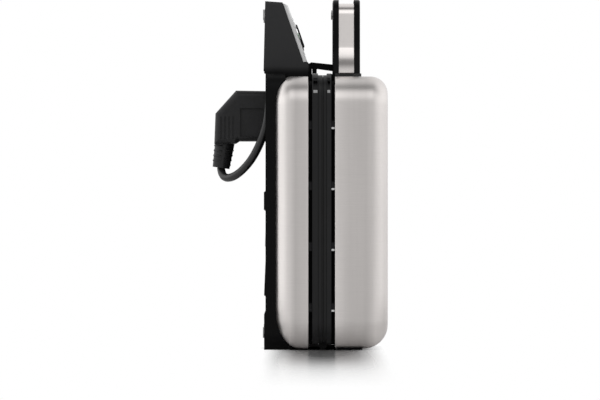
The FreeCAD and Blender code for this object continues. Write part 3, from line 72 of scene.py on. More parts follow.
class CoverSizes(bpy.types.PropertyGroup):
    """Steel covers"""
    corner: bpy.props.FloatProperty(
        name="Plan corner", description="Corner radius in plan",
        default=0.024, unit="LENGTH")
    front: bpy.props.FloatProperty(
        name="Front edge", description="Edge radius at the front",
        default=0.0145, unit="LENGTH")
    rear: bpy.props.FloatProperty(
        name="Rear edge", description="Edge radius at the rear",
        default=0.020, unit="LENGTH")
    blend: bpy.props.FloatProperty(
        name="Blend", description="Length over which the edge radius changes",
        default=0.022, unit="LENGTH")
    wall: bpy.props.FloatProperty(
        name="Hem", description="Thickness of the folded edge",
        default=0.0014, unit="LENGTH")
    steel: bpy.props.FloatVectorProperty(
        name="Steel", description="Colour of the steel",
        default=(0.725, 0.69, 0.672), subtype="COLOR", size=3)


class HandleSizes(bpy.types.PropertyGroup):
    """Handle's steel band"""
    band_side: bpy.props.FloatProperty(
        name="Band side", description="Half width of the handle's band",
        default=0.0568, unit="LENGTH")
    foot_sheet: bpy.props.FloatProperty(
        name="Foot sheet", description="Sheet of the band's feet",
        default=0.0009, unit="LENGTH")
    foot_gap: bpy.props.FloatProperty(
        name="Foot gap", description="Gap between the band's feet and the collars",
        default=0.0006, unit="LENGTH")
    foot_rise: bpy.props.FloatProperty(
        name="Foot rise", description="Height of the feet's sweep",
        default=0.0213, unit="LENGTH")
    foot_lean: bpy.props.FloatProperty(
        name="Foot lean", description="How far the feet lean out evenly",
        default=0.0096, unit="LENGTH")
    foot_curl: bpy.props.FloatProperty(
        name="Foot curl", description="How far the feet curl out at their ends",
        default=0.0062, unit="LENGTH")


class LeadSizes(bpy.types.PropertyGroup):
    """Lead and plug"""
    thickness: bpy.props.FloatProperty(
        name="Thickness", description="Diameter of the lead",
        default=0.0068, unit="LENGTH")
    ribs: bpy.props.IntProperty(
        name="Ribs", description="Half ribs on the plug's sleeve",
        default=8, min=2)
    rib_pitch: bpy.props.FloatProperty(
        name="Rib pitch", description="Distance from one half rib to the next",
        default=0.0021, unit="LENGTH")
    rib_radius: bpy.props.FloatProperty(
        name="Rib radius", description="Radius of the lowest half rib",
        default=0.0068, unit="LENGTH")
    rib_thickness: bpy.props.FloatProperty(
        name="Rib thickness", description="Radius of a rib's own section",
        default=0.0011, unit="LENGTH")
    colour: bpy.props.FloatVectorProperty(
        name="Colour", description="Colour of the sheath",
        default=(0.006, 0.006, 0.0065), subtype="COLOR", size=3)


class PanelSizes(bpy.types.PropertyGroup):
    """Control panel"""
    marks: bpy.props.IntProperty(
        name="Marks", description="Printed marks round the dial",
        default=11, min=3)
    sweep: bpy.props.FloatProperty(
        name="Sweep", description="Angle that the marks span",
        default=math.radians(270), subtype="ANGLE")
    ring: bpy.props.FloatProperty(
        name="Ring", description="Radius of the ring of marks",
        default=0.0158, unit="LENGTH")
    lean: bpy.props.FloatProperty(
        name="Lean", description="Lean of the panel",
        default=math.radians(19.1), subtype="ANGLE")


class StudioSizes(bpy.types.PropertyGroup):
    """Studio"""
    distance: bpy.props.FloatProperty(
        name="Distance", description="Camera to the object's middle",
        default=8.0, unit="LENGTH")
    per_pixel: bpy.props.FloatProperty(
        name="Scale", description="Length shown by a pixel of a 600 pixel wide frame",
        default=0.00085, precision=6, unit="LENGTH")
    aim_x: bpy.props.FloatProperty(
        name="Aim across", description="X at the frame's middle",
        default=-0.02125, unit="LENGTH")
    aim_z: bpy.props.FloatProperty(
        name="Aim up", description="Z at the frame's middle",
        default=0.1258, unit="LENGTH")


# Shader maths

class Amount:
    """A socket that takes part in sums."""

    def __init__(self, shade, socket):
        self.shade = shade
        self.socket = socket

    def _sum(self, operation, first, second):
        return self.shade.combine(operation, first, second)

    def __add__(self, other):
        return self._sum("ADD", self, other)

    __radd__ = __add__

    def __sub__(self, other):
        return self._sum("SUBTRACT", self, other)

    def __rsub__(self, other):
        return self._sum("SUBTRACT", other, self)

    def __mul__(self, other):
        return self._sum("MULTIPLY", self, other)

    __rmul__ = __mul__

    def __truediv__(self, other):
        return self._sum("DIVIDE", self, other)

    def __rtruediv__(self, other):
        return self._sum("DIVIDE", other, self)

    def __pow__(self, other):
        return self._sum("POWER", self, other)

    def __rpow__(self, other):
        return self._sum("POWER", other, self)

    def __abs__(self):
        return self._sum("ABSOLUTE", self, 0.0)


def set_stops(ramp, stops):
    """Gives a colour ramp its stops, as pairs of place and grey tone."""
    while len(ramp.elements) < len(stops):
        ramp.elements.new(0.5)
    for element, (place, tone) in zip(ramp.elements, stops):
        element.position = place
        element.color = grey(tone)


def new_node(tree, kind, settings, sockets):
    """Adds a node: its settings first, then the values or links of its sockets."""
    node = tree.nodes.new(kind)
    for key, value in settings.items():
        if key == "stops":
            set_stops(node.color_ramp, value)
        else:
            setattr(node, key, value)
    for key, value in sockets.items():
        if isinstance(value, Amount):
            value = value.socket
        if isinstance(value, bpy.types.NodeSocket):
            tree.links.new(value, node.inputs[key])
        else:
            node.inputs[key].default_value = value
    return node


class Shade:
    """A new material's nodes, or a given tree's, under construction."""

    def __init__(self, name, tree=None):
        if tree is None:
            self.material = bpy.data.materials.new(name)
            self.material.use_nodes = True
            tree = self.material.node_tree
        self.tree = tree
        self.tree.nodes.clear()

    def add(self, kind, settings=None, sockets=None, out=0):
        """Adds a node and returns one of its outputs, if it has any."""
        node = new_node(self.tree, kind, settings or {}, sockets or {})
        return Amount(self, node.outputs[out]) if len(node.outputs) else None

    def combine(self, operation, first, second):
        """One Math node."""
        return self.add("ShaderNodeMath", {"operation": operation}, {0: first, 1: second})

    def part(self, vector, axis):
        """A vector's part along an axis."""
        return self.add("ShaderNodeSeparateXYZ", {}, {0: vector}, out=axis)

    def place(self, scale=(1, 1, 1)):
        """Object coordinates, scaled."""
        where = self.add("ShaderNodeTexCoord", out="Object")
        return self.add("ShaderNodeMapping", {}, {"Vector": where, "Scale": scale})

    def along(self, axis):
        """Place along an axis, in metres."""
        return self.part(self.place(), axis)

    def facing(self, axis):
        """How far the surface faces along an axis, from 0 to 1."""
        return abs(self.part(self.add("ShaderNodeTexCoord", out="Normal"), axis))

    def noise(self, scale, detail=2.0, rough=0.5):
        """Noise of a number of waves to a metre, one for all axes or one for each."""
        stretch = scale if isinstance(scale, tuple) else (scale, scale, scale)
        return self.add("ShaderNodeTexNoise", {}, {
            "Vector": self.place(stretch), "Scale": 1.0, "Detail": detail, "Roughness": rough})

    def cells(self, scale, feature="F1"):
        """Distance from the middles of scattered cells."""
        return self.add("ShaderNodeTexVoronoi", {"feature": feature}, {
            "Vector": self.place(), "Scale": scale})

    def ramp(self, amount, stops):
        return self.add("ShaderNodeValToRGB", {"stops": stops}, {0: amount})

    def rise(self, amount, low, high):
        """0 up to low, and from there evenly up to 1 at high."""
        return self.ramp(amount, [(low, 0.0), (high, 1.0)])

    def fall(self, amount, low, high):
        """1 up to low, and from there evenly down to 0 at high."""
        return self.ramp(amount, [(low, 1.0), (high, 0.0)])

    def blend(self, factor, first, second, how="MIX"):
        """A mix of two colours."""
        return self.add("ShaderNodeMix", {"data_type": "RGBA", "blend_type": how},
                        {0: factor, 6: first, 7: second}, out=2)

    def between(self, factor, first, second):
        """A mix of two numbers."""
        return self.add("ShaderNodeMix", {"data_type": "FLOAT"}, {0: factor, 2: first, 3: second})

    def bump(self, height, strength, distance):
        return self.add("ShaderNodeBump", {}, {"Height": height, "Strength": strength, "Distance": distance})

    def surface(self, **sockets):
        """Ends the material in a principled surface."""
        names = {key.replace("_", " "): value for key, value in sockets.items()}
        shader = self.add("ShaderNodeBsdfPrincipled", {}, names)
        self.add("ShaderNodeOutputMaterial", {}, {"Surface": shader})
        return self.material


def varied(middle, *noises):
    """A number that each noise moves up and down by its share."""
    for noise, share in noises:
        middle = middle + (noise - 0.5) * share
    return middle


def grey(tone):
    return (tone, tone, tone, 1.0)


def rgb(colour, share=1.0, lift=0.0):
    """A colour with its parts multiplied and raised, and with its alpha."""
    return (*(min(1.0, part * share + lift) for part in colour), 1.0)


# Finishes

# Painted reflection, with chosen tones: the covers' sides are darker along a belt on each than at their
# edges, standing in for the room's reflection in the steel.
# Each stop is a place across, as a share of the span, and a tone
PAINTED_REFLECTION_BELTS = [(0.20, 1.0), (0.25, 0.77), (0.40, 0.87), (0.59, 0.97), (0.70, 0.80), (0.84, 0.77),
              (0.92, 0.95)]
BELT_SPAN = 0.1


def brushed_steel(name, colour, roughness):
    """Steel brushed across its length, and along its width on the end walls, with painted reflection belts
    on its sides.
    """
    s = Shade(name)
    on_ends = s.rise(s.facing("Z"), 0.55, 0.8)
    lines = s.noise((60, 60, 4200), detail=3.0, rough=0.65)
    end_lines = s.noise((4200, 60, 60), detail=3.0, rough=0.65)
    grain = s.between(on_ends, lines, end_lines)
    broad = s.noise((110, 30, 5), detail=3.0)
    smudge = s.noise(9, detail=4.0, rough=0.6)
    # Painted reflection: darker belts across the sides stand in for the room's reflection in the steel
    painted_reflection = s.ramp(s.along("X") / BELT_SPAN + 0.5, PAINTED_REFLECTION_BELTS)
    tone = s.blend(s.rise(grain, 0.28, 0.72), rgb(colour, 0.93), rgb(colour, 1.04))
    tone = s.blend(s.rise(broad, 0.38, 0.64) * 0.5, tone, rgb(colour, 0.88))
    tone = s.blend(1.0, tone, painted_reflection, how="MULTIPLY")
    return s.surface(Base_Color=tone, Metallic=1.0,
                     Roughness=varied(roughness, (grain, 0.16), (smudge, 0.06)),
                     Normal=s.bump(grain, strength=0.05, distance=0.00004))


def satin_band(name, colour):
    """Satin steel of the handle's band, brushed along the bar."""
    s = Shade(name)
    grain = s.noise((60, 60, 2400), detail=3.0, rough=0.6)
    cloud = s.noise((60, 30, 8), detail=3.0)
    tone = s.blend(cloud, rgb(colour, 0.96), rgb(colour, 1.06))
    return s.surface(Base_Color=tone, Metallic=1.0,
                     Roughness=varied(0.2, (grain, 0.06), (cloud, 0.05)),
                     Normal=s.bump(grain, strength=0.05, distance=0.00001))


# The control box looks lighter than the housing below it: height as a share of a span, and how light
BOX_STARTS = [(0.466, 0.0), (0.470, 0.3), (0.477, 1.0)]
BOX_SPAN = 0.5


def moulded_plastic(name, colour, roughness, grain=2600.0, strength=0.16, shine=0.2, upper=None):
    """Moulded plastic with a fine grain, faint flow marks and, if given, another colour at the top."""
    s = Shade(name)
    fine = s.noise(grain, rough=0.6)
    pits = s.cells(grain * 0.55, feature="SMOOTH_F1")
    flow = s.noise((22, 22, 9), detail=3.0, rough=0.55)
    dust = s.noise(420.0, detail=4.0, rough=0.7)
    tone = s.blend(s.rise(flow, 0.3, 0.7), rgb(colour, 0.86), rgb(colour, 1.16))
    tone = s.blend(s.rise(dust, 0.62, 0.82), tone, rgb(colour, 1.35, lift=0.001))
    if upper:
        tone = s.blend(s.ramp(s.along("Z") / BOX_SPAN, BOX_STARTS), tone, rgb(upper))
    return s.surface(Base_Color=tone, Specular_IOR_Level=shine,
                     Roughness=varied(roughness, (flow, 0.10), (fine, 0.12)),
                     Normal=s.bump(fine * 0.6 + pits * 0.7, strength, distance=0.00006))


# Places of the painted shade lines in the steps of the plates' rims, half of a line's width, and the ramp's
# span
PAINTED_RIM_SHADE_LINES = (-0.0059, -0.0032, -0.00125, 0.0010)
RIM_LINE_HALF = 0.00025
RIM_SPAN = 0.025


def painted_rim_shade_stops():
    """Stops of a ramp across the rims, with painted shade at each line."""
    stops = []
    for line in PAINTED_RIM_SHADE_LINES:
        for off, tone in ((-2, 0.8), (-1, 0.1), (1, 0.1), (2, 1.0)):
            stops.append(((line + off * RIM_LINE_HALF) / RIM_SPAN + 0.5, tone))
    return stops


def release_coating(name):
    """Dark release coating on a casting, with tiny mineral flecks and painted shade lines in the steps of
    its rim.
    """
    s = Shade(name)
    skin = s.noise(900.0, detail=3.0, rough=0.6)
    fleck = s.fall(s.cells(700.0), 0.05, 0.12)
    cloud = s.noise(18, detail=3.0)
    tone = s.blend(cloud, rgb((0.008, 0.008, 0.0086)), rgb((0.014, 0.014, 0.015)))
    tone = s.blend(fleck * 0.35, tone, rgb((0.05, 0.05, 0.053)))
    # Painted shade: dark lines in the corners of the rim's steps, on the faces that face along Y
    step_shade_mask = s.rise(s.facing("Y"), 0.7, 0.9)
    lines = s.ramp(s.along("X") / RIM_SPAN + 0.5, painted_rim_shade_stops())
    tone = s.blend(1.0, tone, s.blend(step_shade_mask, grey(1.0), lines), how="MULTIPLY")
    return s.surface(Base_Color=tone, Metallic=0.12, Specular_IOR_Level=0.25,
                     Roughness=varied(0.40, (skin, 0.22), (cloud, 0.10)),
                     Normal=s.bump(skin, strength=0.18, distance=0.00008))


def sheet_metal(name, colour, roughness, oxide_share):
    """Plain sheet or bar with rolling marks and a little oxide."""
    s = Shade(name)
    rolled = s.noise((260, 2400, 260), detail=3.0, rough=0.6)
    oxide = s.noise(60, detail=5.0, rough=0.65)
    tone = s.blend(s.rise(oxide, 0.35, 0.75), rgb(colour), rgb(colour, oxide_share))
    return s.surface(Base_Color=tone, Metallic=1.0,
                     Roughness=varied(roughness, (rolled, 0.2), (oxide, 0.12)),
                     Normal=s.bump(rolled, strength=0.08, distance=0.00003))


# Clips get a painted glint past this distance from the middle, and what lies above this height is a lug
GLINT_FROM = 0.1135
LUGS_FROM = 0.213


def clip_metal(name):
    """Blackened spring steel, with a painted glint: lighter colour on the lid's tongues and half as light on
    the lugs.
    """
    s = Shade(name)
    # Painted glint: the lid's tongues and the lugs are lighter than the base's clips of the same steel
    outside = s.combine("GREATER_THAN", abs(s.along("Y")), GLINT_FROM)
    on_lid = s.combine("GREATER_THAN", s.along("X"), 0.0)
    on_lug = s.combine("GREATER_THAN", s.along("Z"), LUGS_FROM)
    painted_glint = outside * s.combine("MAXIMUM", on_lid, on_lug)
    wear = s.noise(500, detail=3.0)
    bright = s.blend(on_lug, grey(0.62), grey(0.3))
    tone = s.blend(painted_glint, rgb((0.02, 0.02, 0.021)), bright)
    return s.surface(Base_Color=tone, Metallic=1.0, Roughness=varied(0.34, (wear, 0.2)),
                     Normal=s.bump(wear, strength=0.08, distance=0.00003))


def satin_silver(name, colour):
    """Satin silver finish of the control panel."""
    s = Shade(name)
    fleck = s.noise(5200.0)
    cloud = s.noise(30)
    tone = s.blend(fleck, rgb(colour, 0.88), rgb(colour, 1.08))
    return s.surface(Base_Color=tone, Metallic=0.85,
                     Roughness=varied(0.36, (fleck, 0.12), (cloud, 0.05)),
                     Normal=s.bump(fleck, strength=0.05, distance=0.00003))


def bright_metal(name, colour, roughness):
    """Polished or plated metal with faint wiping marks."""
    s = Shade(name)
    wipe = s.noise((160, 900, 160), detail=3.0, rough=0.6)
    haze = s.noise(120, detail=3.0)
    tone = s.blend(haze * 0.3, rgb(colour), rgb(colour, 0.85))
    return s.surface(Base_Color=tone, Metallic=1.0, Roughness=varied(roughness, (wipe, 0.08), (haze, 0.05)))


def soft_rubber(name, colour, roughness, grain=1800.0, strength=0.2, shine=0.2):
    """Rubber or soft sheath with a dull skin and a little dust."""
    s = Shade(name)
    skin = s.noise(grain, detail=3.0, rough=0.6)
    dust = s.noise(70, detail=5.0, rough=0.7)
    tone = s.blend(s.rise(dust, 0.45, 0.85), rgb(colour), rgb(colour, 1.5, lift=0.004))
    return s.surface(Base_Color=tone, Specular_IOR_Level=shine,
                     Roughness=varied(roughness, (skin, 0.16), (dust, 0.12)),
                     Normal=s.bump(skin, strength, distance=0.00005))


def tinted_lens(name, colour):
    """Small prismatic lens of tinted plastic."""
    s = Shade(name)
    prism = s.cells(900.0)
    tone = s.blend(prism, rgb(colour), rgb(colour, 0.5))
    return s.surface(Base_Color=tone, Roughness=0.12 + prism * 0.08, Coat_Weight=0.6,
                     Normal=s.bump(prism, strength=0.15, distance=0.0001))


def clear_glass(name):
    """Clear glass of the lamps."""
    s = Shade(name)
    swirl = s.noise(300)
    tone = s.blend(swirl, rgb((0.75, 0.76, 0.76)), grey(0.88))
    return s.surface(Base_Color=tone, Roughness=0.05 + swirl * 0.06, Transmission_Weight=0.8)


def printed_mark(name, colour):
    """Matt ink."""
    s = Shade(name)
    ink = s.noise(3000.0)
    tone = s.blend(ink, rgb(colour), rgb(colour, 0.85))
    return s.surface(Base_Color=tone, Roughness=varied(0.5, (ink, 0.2)))


BLACK = (0.0016, 0.0016, 0.0018)
BOX_GREY = (0.030, 0.030, 0.031)
FINISH = {}


def make_finishes():
    """Makes each finish once, by the record's slot."""
    steel = tuple(bpy.context.scene.wm_covers.steel)
    sheath = tuple(bpy.context.scene.wm_lead.colour)
    plug = tuple(part * 1.7 for part in sheath)

    def keep(slot, make, *colour, **values):
        FINISH[slot] = make(slot, *colour, **values)

    keep("brushed_cover", brushed_steel, steel, roughness=0.34)
    keep("handle_steel", satin_band, steel)
    keep("black_moulding", moulded_plastic, (0.002, 0.002, 0.0022), roughness=0.44, shine=0.08,
         upper=BOX_GREY)
    keep("grip_black", moulded_plastic, BLACK, roughness=0.36, grain=3200.0, strength=0.10, shine=0.08)
    keep("frame_black", moulded_plastic, BLACK, roughness=0.62, grain=2200.0, strength=0.2, shine=0.06)
    keep("plate_coating", release_coating)
    keep("clip_steel", clip_metal)
    keep("plain_steel", sheet_metal, (0.46, 0.46, 0.47), roughness=0.34, oxide_share=0.78)
    keep("hinge_black", moulded_plastic, (0.003, 0.003, 0.0032), roughness=0.4, shine=0.15)
    keep("element_steel", sheet_metal, (0.26, 0.24, 0.23), roughness=0.5, oxide_share=0.48)
    keep("fascia_silver", satin_silver, (0.62, 0.62, 0.62))
    keep("bright_ring", bright_metal, (0.86, 0.86, 0.87), roughness=0.09)
    keep("pointer_white", printed_mark, (0.8, 0.8, 0.8))
    keep("red_lens", tinted_lens, (0.5, 0.03, 0.02))
    keep("green_lens", tinted_lens, (0.04, 0.35, 0.06))
    keep("lamp_glass", clear_glass)
    keep("brown_insulator", moulded_plastic, (0.16, 0.09, 0.05), roughness=0.5, grain=1600.0, strength=0.2)
    keep("pad_grey", soft_rubber, (0.42, 0.42, 0.42), roughness=0.7)
    keep("collar_grey", moulded_plastic, (0.03, 0.03, 0.031), roughness=0.4)
    keep("lead_black", soft_rubber, sheath, roughness=0.36, shine=0.5)
    keep("plug_black", soft_rubber, plug, roughness=0.44, grain=2400.0, strength=0.25, shine=0.3)
    keep("pin_nickel", bright_metal, (0.74, 0.72, 0.67), roughness=0.16)
    keep("dark_ink", printed_mark, (0.02, 0.02, 0.022))


def finish(slot):
    """The finish of a slot; all are made when the first is asked for."""
    if not FINISH:
        make_finishes()
    return FINISH[slot]


def dress(obj, slot):
    """Gives an object one finish."""
    obj.data.materials.clear()
    obj.data.materials.append(finish(slot))


def piece(name, mesh, body, slot, *nodes):
    """Links a new piece, rides it on its body and lets it stand for CAD nodes."""
    obj = bpy.data.objects.new(name, mesh)
    bpy.context.scene.collection.objects.link(obj)
    dress(obj, slot)
    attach(obj, body)
    if nodes:
        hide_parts(*nodes)
    return obj


def built_mesh(name, builder):
    """Ends a mesh under construction."""
    mesh = bpy.data.meshes.new(name)
    builder.to_mesh(mesh)
    builder.free()
    return mesh


class WM_OT_finishes(bpy.types.Operator):
    """Gives every solid that stays its finish"""
    bl_idname = "waffle.finishes"
    bl_label = "Finishes"

    def execute(self, context):
        for part in frame["record"]["subparts"]:
            dress(NODES[part["node"]], part["material_slot"])
        return {"FINISHED"}


# Covers

ARC_STEPS = 14
SIDE_STEPS = 16
HEM_STEPS = 8
EDGE_STEPS = 18
# How deep the hem's inner face goes, where the plain side starts past it, and the face's flat strip
HEM_DEPTH = 0.016
SIDE_START = 0.0016
FACE_STRIP = 0.0006
# Where the edge radius starts to change, as a share of the plan corner
BLEND_START = 0.6


def rounded_outline(half, low, high, corner):
    """Points and inward directions round a rounded rectangle in plan, as pairs of (y, z)."""
    points = []
    centres = [(half - corner, high - corner, 0.0), (-half + corner, high - corner, 90.0),
               (-half + corner, low + corner, 180.0), (half - corner, low + corner, 270.0)]
    for i, (y, z, start) in enumerate(centres):
        for k in range(ARC_STEPS + 1):
            angle = math.radians(start + 90.0 * k / ARC_STEPS)
            out = Vector((math.cos(angle), math.sin(angle)))
            points.append((Vector((y, z)) + out * corner, -out))
        next_y, next_z, _ = centres[(i + 1) % len(centres)]
        begin = Vector((y, z)) + out * corner
        end = Vector((next_y, next_z)) + out * corner
        for k in range(1, SIDE_STEPS):
            points.append((begin.lerp(end, k / SIDE_STEPS), -out))
    return points


def cover_rings(node, open_at, outer_at):
    """Rings of a cover from inside its hem, round the fold, up the side and round the edge to its face."""
    sizes = bpy.context.scene.wm_covers
    low, high = span(node, 2)
    way = 1.0 if outer_at > open_at else -1.0
    wall = sizes.wall
    outline = rounded_outline(span(node, 1)[1], low, high, sizes.corner)
    blend_from = low + sizes.corner * BLEND_START

    def edge_radius(point):
        share = min(1.0, max(0.0, (point.y - blend_from) / sizes.blend))
        return sizes.rear + (sizes.front - sizes.rear) * share

    rings = []
    for depth in (HEM_DEPTH, wall):
        rings.append([(open_at + way * depth, p + inward * wall) for p, inward in outline])
    for k in range(HEM_STEPS + 1):
        turn = math.pi * k / HEM_STEPS
        depth = wall / 2 * (1 - math.sin(turn))
        inset = wall / 2 * (1 + math.cos(turn))
        rings.append([(open_at + way * depth, p + inward * inset) for p, inward in outline])
    rings.append([(open_at + way * SIDE_START, p) for p, inward in outline])
    for k in range(EDGE_STEPS + 1):
        turn = math.pi / 2 * k / EDGE_STEPS
        rings.append([(outer_at - way * edge_radius(p) * (1 - math.sin(turn)),
                       p + inward * edge_radius(p) * (1 - math.cos(turn))) for p, inward in outline])
    rings.append([(outer_at, p + inward * (edge_radius(p) + FACE_STRIP)) for p, inward in outline])
    return rings


def cover_mesh(name, node, open_at, outer_at):
    """A drawn steel cover with a folded hem at its open edge and a larger edge radius at the rear."""
    builder = bmesh.new()
    rings = cover_rings(node, open_at, outer_at)
    rows = [[builder.verts.new((x, p.x, p.y)) for x, p in ring] for ring in rings]
    count = len(rows[0])
    for first, second in zip(rows, rows[1:]):
        for i in range(count):
            after = (i + 1) % count
            builder.faces.new((first[i], first[after], second[after], second[i]))
    outer_face = builder.faces.new(rows[-1])
    bmesh.ops.recalc_face_normals(builder, faces=builder.faces)
    if outer_face.normal.x * (outer_at - open_at) < 0:
        bmesh.ops.reverse_faces(builder, faces=builder.faces)
    for face in builder.faces:
        face.smooth = True
    return built_mesh(name, builder)


class WM_OT_covers(bpy.types.Operator):
    """Makes the two drawn steel covers"""
    bl_idname = "waffle.covers"
    bl_label = "Steel covers"

    def execute(self, context):
        low, high = span("upper_shell", 0)
        lid = cover_mesh("lid_cover", "upper_shell", open_at=low, outer_at=high)
        piece("lid_cover", lid, "lid", "brushed_cover", "upper_shell")
        low, high = span("lower_shell", 0)
        base = cover_mesh("base_cover", "lower_shell", open_at=high, outer_at=low)
        piece("base_cover", base, "base", "brushed_cover", "lower_shell")
        return {"FINISHED"}


# Feet of the handle's band

FOOT_STEPS = 16
# How far the sheet stands proud of the bar, and where it leaves the bar as a share of the sweep's height
FOOT_PROUD = 0.0002
FOOT_TOP = 1.17


def foot_sweep(sizes):
    """Places on a foot's outer face from the bar down to the collar: height, and how far it stands out."""
    low = span("handle_collars", 2)[1] + sizes.foot_gap
    places = [(low + sizes.foot_rise * FOOT_TOP, FOOT_PROUD / 2)]
    for k in range(FOOT_STEPS + 1):
        share = k / FOOT_STEPS
        out = FOOT_PROUD + sizes.foot_lean * share + sizes.foot_curl * share ** 3
        places.append((low + sizes.foot_rise * (1 - share), out))
    return places


def feet_mesh(name, sizes):
    """Both feet of the band: sheets that sweep out from the bar's sides to the lid."""
    builder = bmesh.new()
    for side in (-1, 1):
        outer = [(side * (sizes.band_side + out), height) for height, out in foot_sweep(sizes)]
        inner = [(y - side * sizes.foot_sheet, z) for y, z in reversed(outer)]
        ends = [[builder.verts.new((x, y, z)) for y, z in outer + inner] for x in span("handle_band", 0)]
        count = len(ends[0])
        for i in range(count):
            after = (i + 1) % count
            face = builder.faces.new((ends[0][i], ends[0][after], ends[1][after], ends[1][i]))
            face.smooth = i < len(outer) - 1
        for end in ends:
            builder.faces.new(end)
    bmesh.ops.recalc_face_normals(builder, faces=builder.faces)
    for edge in builder.edges:
        edge.smooth = all(face.smooth for face in edge.link_faces)
    return built_mesh(name, builder)


class WM_OT_band_feet(bpy.types.Operator):
    """Sweeps the feet of the handle's steel band out to the lid"""
    bl_idname = "waffle.band_feet"
    bl_label = "Band feet"

    def execute(self, context):
        piece("band_feet", feet_mesh("band_feet", context.scene.wm_handle), "lid", "handle_steel")
        return {"FINISHED"}


# Lead, in millimetres

LAPS_AT = -46.9
LEAD_START = 112
# Half the width and the top of each lap, the laps' foot, and how far a corner's control points lie from it
LAPS = ((54, 259), (63, 268))
LAP_FOOT = 40
LAP_CORNER = 23.43
# From the last lap down to the parked plug, chosen one by one
LOOP = [
    (LAPS_AT, -63, 206), (-50.8, -61, 183), (-60.5, -54, 161.5), (-72, -45, 148.5),
    (-81.8, -34.5, 143.6), (-87.6, -26, 146.8), (-88.2, -22, 153),
]


def lead_route():
    """Control points of the lead: its laps in the base's recess, then its loop."""
    laps = [(LAPS[0][0], LEAD_START)]
    for i, (half, top) in enumerate(LAPS):
        if i > 0:
            last = LAPS[i - 1][0]
            laps += [(-last, LAP_FOOT + LAP_CORNER), (-last + LAP_CORNER, LAP_FOOT),
                     (half - LAP_CORNER, LAP_FOOT), (half, LAP_FOOT + LAP_CORNER)]
        laps += [(half, top - LAP_CORNER), (half - LAP_CORNER, top),
                 (-half + LAP_CORNER, top), (-half, top - LAP_CORNER)]
    return [(LAPS_AT, y, z) for y, z in laps] + LOOP


class WM_OT_lead(bpy.types.Operator):
    """Lays the lead: two laps in the base's recess and the loop to the parked plug"""
    bl_idname = "waffle.lead"
    bl_label = "Lead"

    def execute(self, context):
        sizes = context.scene.wm_lead
        route = [tuple(value * MM for value in place) for place in lead_route()]
        curve = bpy.data.curves.new("lead", "CURVE")
        curve.dimensions = "3D"
        spline = curve.splines.new("NURBS")
        spline.points.add(len(route) - 1)
        for point, place in zip(spline.points, route):
            point.co = (*place, 1.0)
        spline.order_u = 3
        spline.use_endpoint_u = True
        spline.resolution_u = 10
        curve.bevel_depth = sizes.thickness / 2
        curve.bevel_resolution = 5
        curve.use_fill_caps = True
        lead = bpy.data.objects.new("lead", curve)
        context.scene.collection.objects.link(lead)
        curve.materials.append(finish("lead_black"))
        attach(lead, "base")
        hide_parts("lead_winding", "lead_loop")
        return {"FINISHED"}


# Pieces that repeat

class ShapeTree:
    """A geometry node tree under construction, with named inputs."""

    def __init__(self, name, **inputs):
        self.name = name
        self.tree = bpy.data.node_groups.new(name, "GeometryNodeTree")
        self.tree.interface.new_socket("Geometry", in_out="OUTPUT", socket_type="NodeSocketGeometry")
        self.values = {}
        for label, value in inputs.items():
            kind = "NodeSocketInt" if isinstance(value, int) else "NodeSocketFloat"
            socket = self.tree.interface.new_socket(label, in_out="INPUT", socket_type=kind)
            socket.default_value = value
            self.values[socket.identifier] = value
        self.given = self.tree.nodes.new("NodeGroupInput").outputs

    def add(self, kind, settings=None, sockets=None):
        """Adds a node and returns its outputs."""
        return new_node(self.tree, kind, settings or {}, sockets or {}).outputs

    def mesh(self, instances, material):
        """Makes the instances real, gives them a material and returns the plain mesh."""
        real = self.add("GeometryNodeRealizeInstances", {}, {0: instances})
        painted = self.add("GeometryNodeSetMaterial", {}, {0: real[0], "Material": material})
        self.add("NodeGroupOutput", {}, {0: painted[0]})
        holder = bpy.data.objects.new(self.name + "_maker", bpy.data.meshes.new(self.name + "_maker"))
        bpy.context.scene.collection.objects.link(holder)
        modifier = holder.modifiers.new(self.name, "NODES")
        modifier.node_group = self.tree
        for identifier, value in self.values.items():
            modifier[identifier] = value
        evaluated = holder.evaluated_get(bpy.context.evaluated_depsgraph_get())
        mesh = bpy.data.meshes.new_from_object(evaluated)
        bpy.data.objects.remove(holder)
        mesh.name = self.name
        return mesh


# Printed marks on the panel

MARK_SIZE = (0.0005, 0.0022, 0.00012)
MARKS_START = math.radians(-45)
# Height of the marks over the middle of the dial's bezel
MARKS_LIFT = 0.00105


def marks_mesh(sizes):
    """Marks set round part of a circle."""
    g = ShapeTree("dial_marks", Marks=sizes.marks, Radius=sizes.ring, Sweep=sizes.sweep)
    arc = g.add("GeometryNodeCurveArc", {}, {
        "Resolution": g.given["Marks"], "Radius": g.given["Radius"], "Sweep Angle": g.given["Sweep"]})
    points = g.add("GeometryNodeCurveToPoints", {"mode": "EVALUATED"}, {0: arc[0]})
    mark = g.add("GeometryNodeMeshCube", {}, {"Size": MARK_SIZE})
    turned = g.add("FunctionNodeAlignRotationToVector", {"axis": "X", "pivot_axis": "Z"}, {
        "Vector": points["Tangent"]})
    marks = g.add("GeometryNodeInstanceOnPoints", {}, {
        "Points": points["Points"], "Instance": mark["Mesh"], "Rotation": turned[0]})
    return g.mesh(marks[0], finish("dark_ink"))


def panel_frame():
    """Places a thing on the leaning panel: x out of it, z up its slope, at the dial's middle."""
    low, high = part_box("dial_bezel")
    middle = (Vector(low) + Vector(high)) / 2
    lean = bpy.context.scene.wm_panel.lean
    return Matrix.Translation(middle) @ Matrix.Rotation(-lean, 4, "Y")


